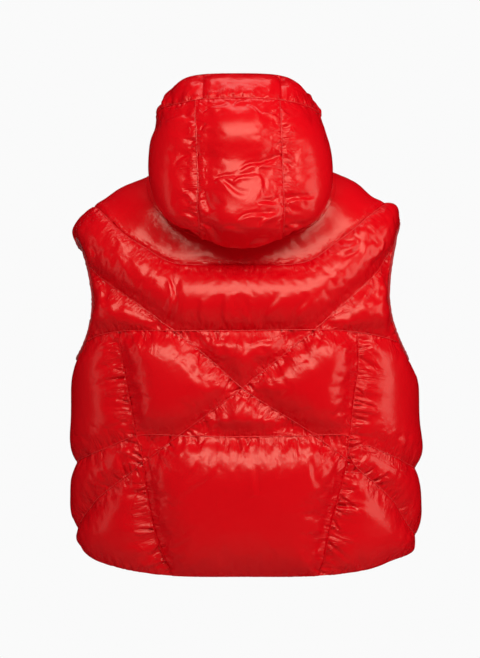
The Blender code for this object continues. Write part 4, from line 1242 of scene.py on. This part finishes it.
def merged_copy(node, name, finish, bevel=0.0, levels=0):
    """A welded copy of a thin CAD solid, with one finish."""
    mesh = bmesh.new()
    mesh.from_mesh(nodes[node].data)
    bmesh.ops.remove_doubles(mesh, verts=mesh.verts, dist=1e-5)
    bmesh.ops.dissolve_limit(mesh, angle_limit=math.radians(0.5), verts=mesh.verts,
                             edges=mesh.edges)
    for face in mesh.faces:
        face.smooth = True
    piece = new_piece(name, mesh, finish)
    if bevel:
        round_edges(piece, bevel, segments=2, from_turn=50)
    if levels:
        subdivide(piece, levels)
    return piece


flap = merged_copy("hood_flap", "hood_flap_cloth", shell_nylon, bevel=0.0004, levels=1)
places = coordinates(flap)
ripple = (0.0006 * np.sin(places[:, 0] * 210 + 2 * np.sin(places[:, 2] * 90))
          + 0.0004 * np.sin(places[:, 0] * 370 + 1.3))
places[:, 1] += ripple
move_to(flap, places)
settle(flap)
as_trim(flap, "hood_flap")

# ------------------------------------------------------------------ armhole bindings
# Bias strips of plain-woven polyester, folded round the raw edge of each armhole and stitched
# through; the bias ruckles where the padded edge turns in under the arm.

# Plain-woven polyester binding: matt, its threads 0.3 mm apart and drawn 0.9 mm apart
woven_binding = new_material("plain_woven_polyester_binding")
at = add_node(woven_binding, "TexCoord", {}).outputs["Object"]
weave = plain_weave(woven_binding, at, 200.0, 350.0, 0.4, "ADD")
shade = add_node(woven_binding, "MapRange", {"Value": weave, "From Max": 2.0})
finish_material(woven_binding, shade.outputs[0], "960509", "B90D10",
                {"Roughness": 0.62, "Sheen Weight": 0.2},
                {"Height": weave, "Strength": 0.5, "Distance": 0.0003})

RUCKLE = 0.00028                   # how high one of the bias's four waves stands
for name, seed in (("left", 31), ("right", 32)):
    node = "armhole_binding_" + name
    binding = merged_copy(node, node + "_cloth", woven_binding, levels=2)
    places = coordinates(binding)
    middle = places.mean(axis=0)
    turn = np.arctan2(places[:, 1] - middle[1], places[:, 2] - middle[2])
    rng = np.random.default_rng(seed)
    ruckle = sum(rng.uniform(0.4, 1.0) * np.sin(count * turn + rng.uniform(0, 6.28))
                 for count in (57, 71, 88, 103))
    _, normals = quilted_points(binding)
    move_to(binding, places + normals * (RUCKLE * ruckle)[:, None])
    settle(binding)
    as_trim(binding, node)

# ------------------------------------------------------------------ zip
# Two woven polyester tapes sewn along the front edges, each with a row of moulded teeth, and a
# plated die-cast slider near the chin with its pull tab on a pin.

# Herringbone-woven polyester tape: matt, its ribs 1.2 mm apart and slanted
woven_tape = new_material("herringbone_polyester_tape")
at = add_node(woven_tape, "TexCoord", {}).outputs["Object"]
ribs = add_node(woven_tape, "TexWave", {"Vector": at, "Scale": 150.0, "Distortion": 0.3},
                {"bands_direction": "DIAGONAL"})
finish_material(woven_tape, ribs.outputs["Fac"], "8A0609", "AE0B0F", {"Roughness": 0.65},
                {"Height": ribs.outputs["Fac"], "Strength": 0.5, "Distance": 0.0003})

# Injection-moulded acetal teeth: smooth, half gloss, dyed with the vest, faintly streaked
moulded_acetal = new_material("moulded_acetal_teeth")
at = add_node(moulded_acetal, "TexCoord", {}).outputs["Object"]
flow = add_node(moulded_acetal, "TexNoise", {"Vector": at, "Scale": 260.0, "Detail": 2.0})
gloss = add_node(moulded_acetal, "MapRange", {
    "Value": flow.outputs["Fac"], "To Min": 0.28, "To Max": 0.42})
finish_material(moulded_acetal, flow.outputs["Fac"], "A3080D", "BE1014",
                {"Roughness": gloss.outputs[0], "IOR": 1.48})

# Die-cast zinc under black-nickel plate, tumbled: satin dark metal with fine scuffs
black_nickel = new_material("tumbled_black_nickel_plate")
at = add_node(black_nickel, "TexCoord", {}).outputs["Object"]
scuff = add_node(black_nickel, "TexNoise", {
    "Vector": at, "Scale": 1400.0, "Detail": 3.0, "Roughness": 0.6})
cast = add_node(black_nickel, "TexNoise", {"Vector": at, "Scale": 220.0, "Detail": 2.0})
gloss = add_node(black_nickel, "MapRange", {
    "Value": scuff.outputs["Fac"], "To Min": 0.26, "To Max": 0.44})
finish_material(black_nickel, cast.outputs["Fac"], "4A4846", "6A6764",
                {"Metallic": 1.0, "Roughness": gloss.outputs[0]},
                {"Height": scuff.outputs["Fac"], "Strength": 0.15, "Distance": 0.0001})
for node in ("zip_slider", "zip_pull"):
    for material_slot in nodes[node].material_slots:
        material_slot.material = black_nickel

for name in ("left", "right"):
    node = "zip_tape_" + name
    tape = merged_copy(node, node + "_cloth", woven_tape, bevel=0.0005)
    as_trim(tape, node)

TOOTH_PITCH = 0.0030
TOOTH_SIZE = (0.0030, 0.0032, 0.0014)
TOOTH_SET_BACK = 0.0022            # from the zip's middle to the middle of a tooth's body
TEETH_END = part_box("zip_slider")[0][2] - 0.0004    # the zip is done up, under its slider
select_only()
bpy.ops.mesh.primitive_cube_add(size=1.0)
one_tooth = bpy.context.object
one_tooth.scale = TOOTH_SIZE
bpy.ops.object.transform_apply(scale=True)
select_only(one_tooth)
for reach, spread in ((-0.0007, 0.72), (-0.0009, 1.25)):
    bpy.ops.object.mode_set(mode="EDIT")
    bpy.ops.mesh.select_mode(type="FACE")
    bpy.ops.mesh.select_all(action="DESELECT")
    bpy.ops.object.mode_set(mode="OBJECT")
    head = min(one_tooth.data.polygons, key=lambda face: face.center.x)
    head.select = True
    bpy.ops.object.mode_set(mode="EDIT")
    bpy.ops.mesh.extrude_region_move(TRANSFORM_OT_translate={"value": (reach, 0, 0)})
    bpy.ops.transform.resize(value=(1, spread, spread))
    bpy.ops.object.mode_set(mode="OBJECT")
round_edges(one_tooth, 0.0002, segments=1, from_turn=40)
tooth_points, tooth_faces = used_up(one_tooth)
# extruding leaves the faces in a new order each time; a fixed order keeps every run the same
tooth_faces = sorted(face[face.index(min(face)):] + face[:face.index(min(face))]
                     for face in tooth_faces)
one_tooth = tooth_points + (TOOTH_SET_BACK, 0, 0), tooth_faces

# the left tape's inner edge, upwards, brought to the zip's middle
toothed_edge = np.unique(coordinates(nodes["zip_tape_left"]).round(5), axis=0)
toothed_edge = toothed_edge[toothed_edge[:, 0] < 0.0015]
toothed_edge = toothed_edge[np.argsort(toothed_edge[:, 2])]
toothed_edge = (toothed_edge[0::2] + toothed_edge[1::2]) / 2 * (0, 1, 1)
for name, side, first in (("left", 1, 1), ("right", -1, 2)):
    row = evenly(toothed_edge, TOOTH_PITCH / 2)[first::2]
    row = row[row[:, 2] < TEETH_END]
    along = unit(np.gradient(row, axis=0))
    out_of = np.cross(along, (1.0, 0.0, 0.0))
    outwards = np.tile((side, 0.0, 0.0), (len(row), 1))
    copies_along("zip_teeth_" + name, one_tooth, zip(row, outwards, out_of, along),
                 moulded_acetal)
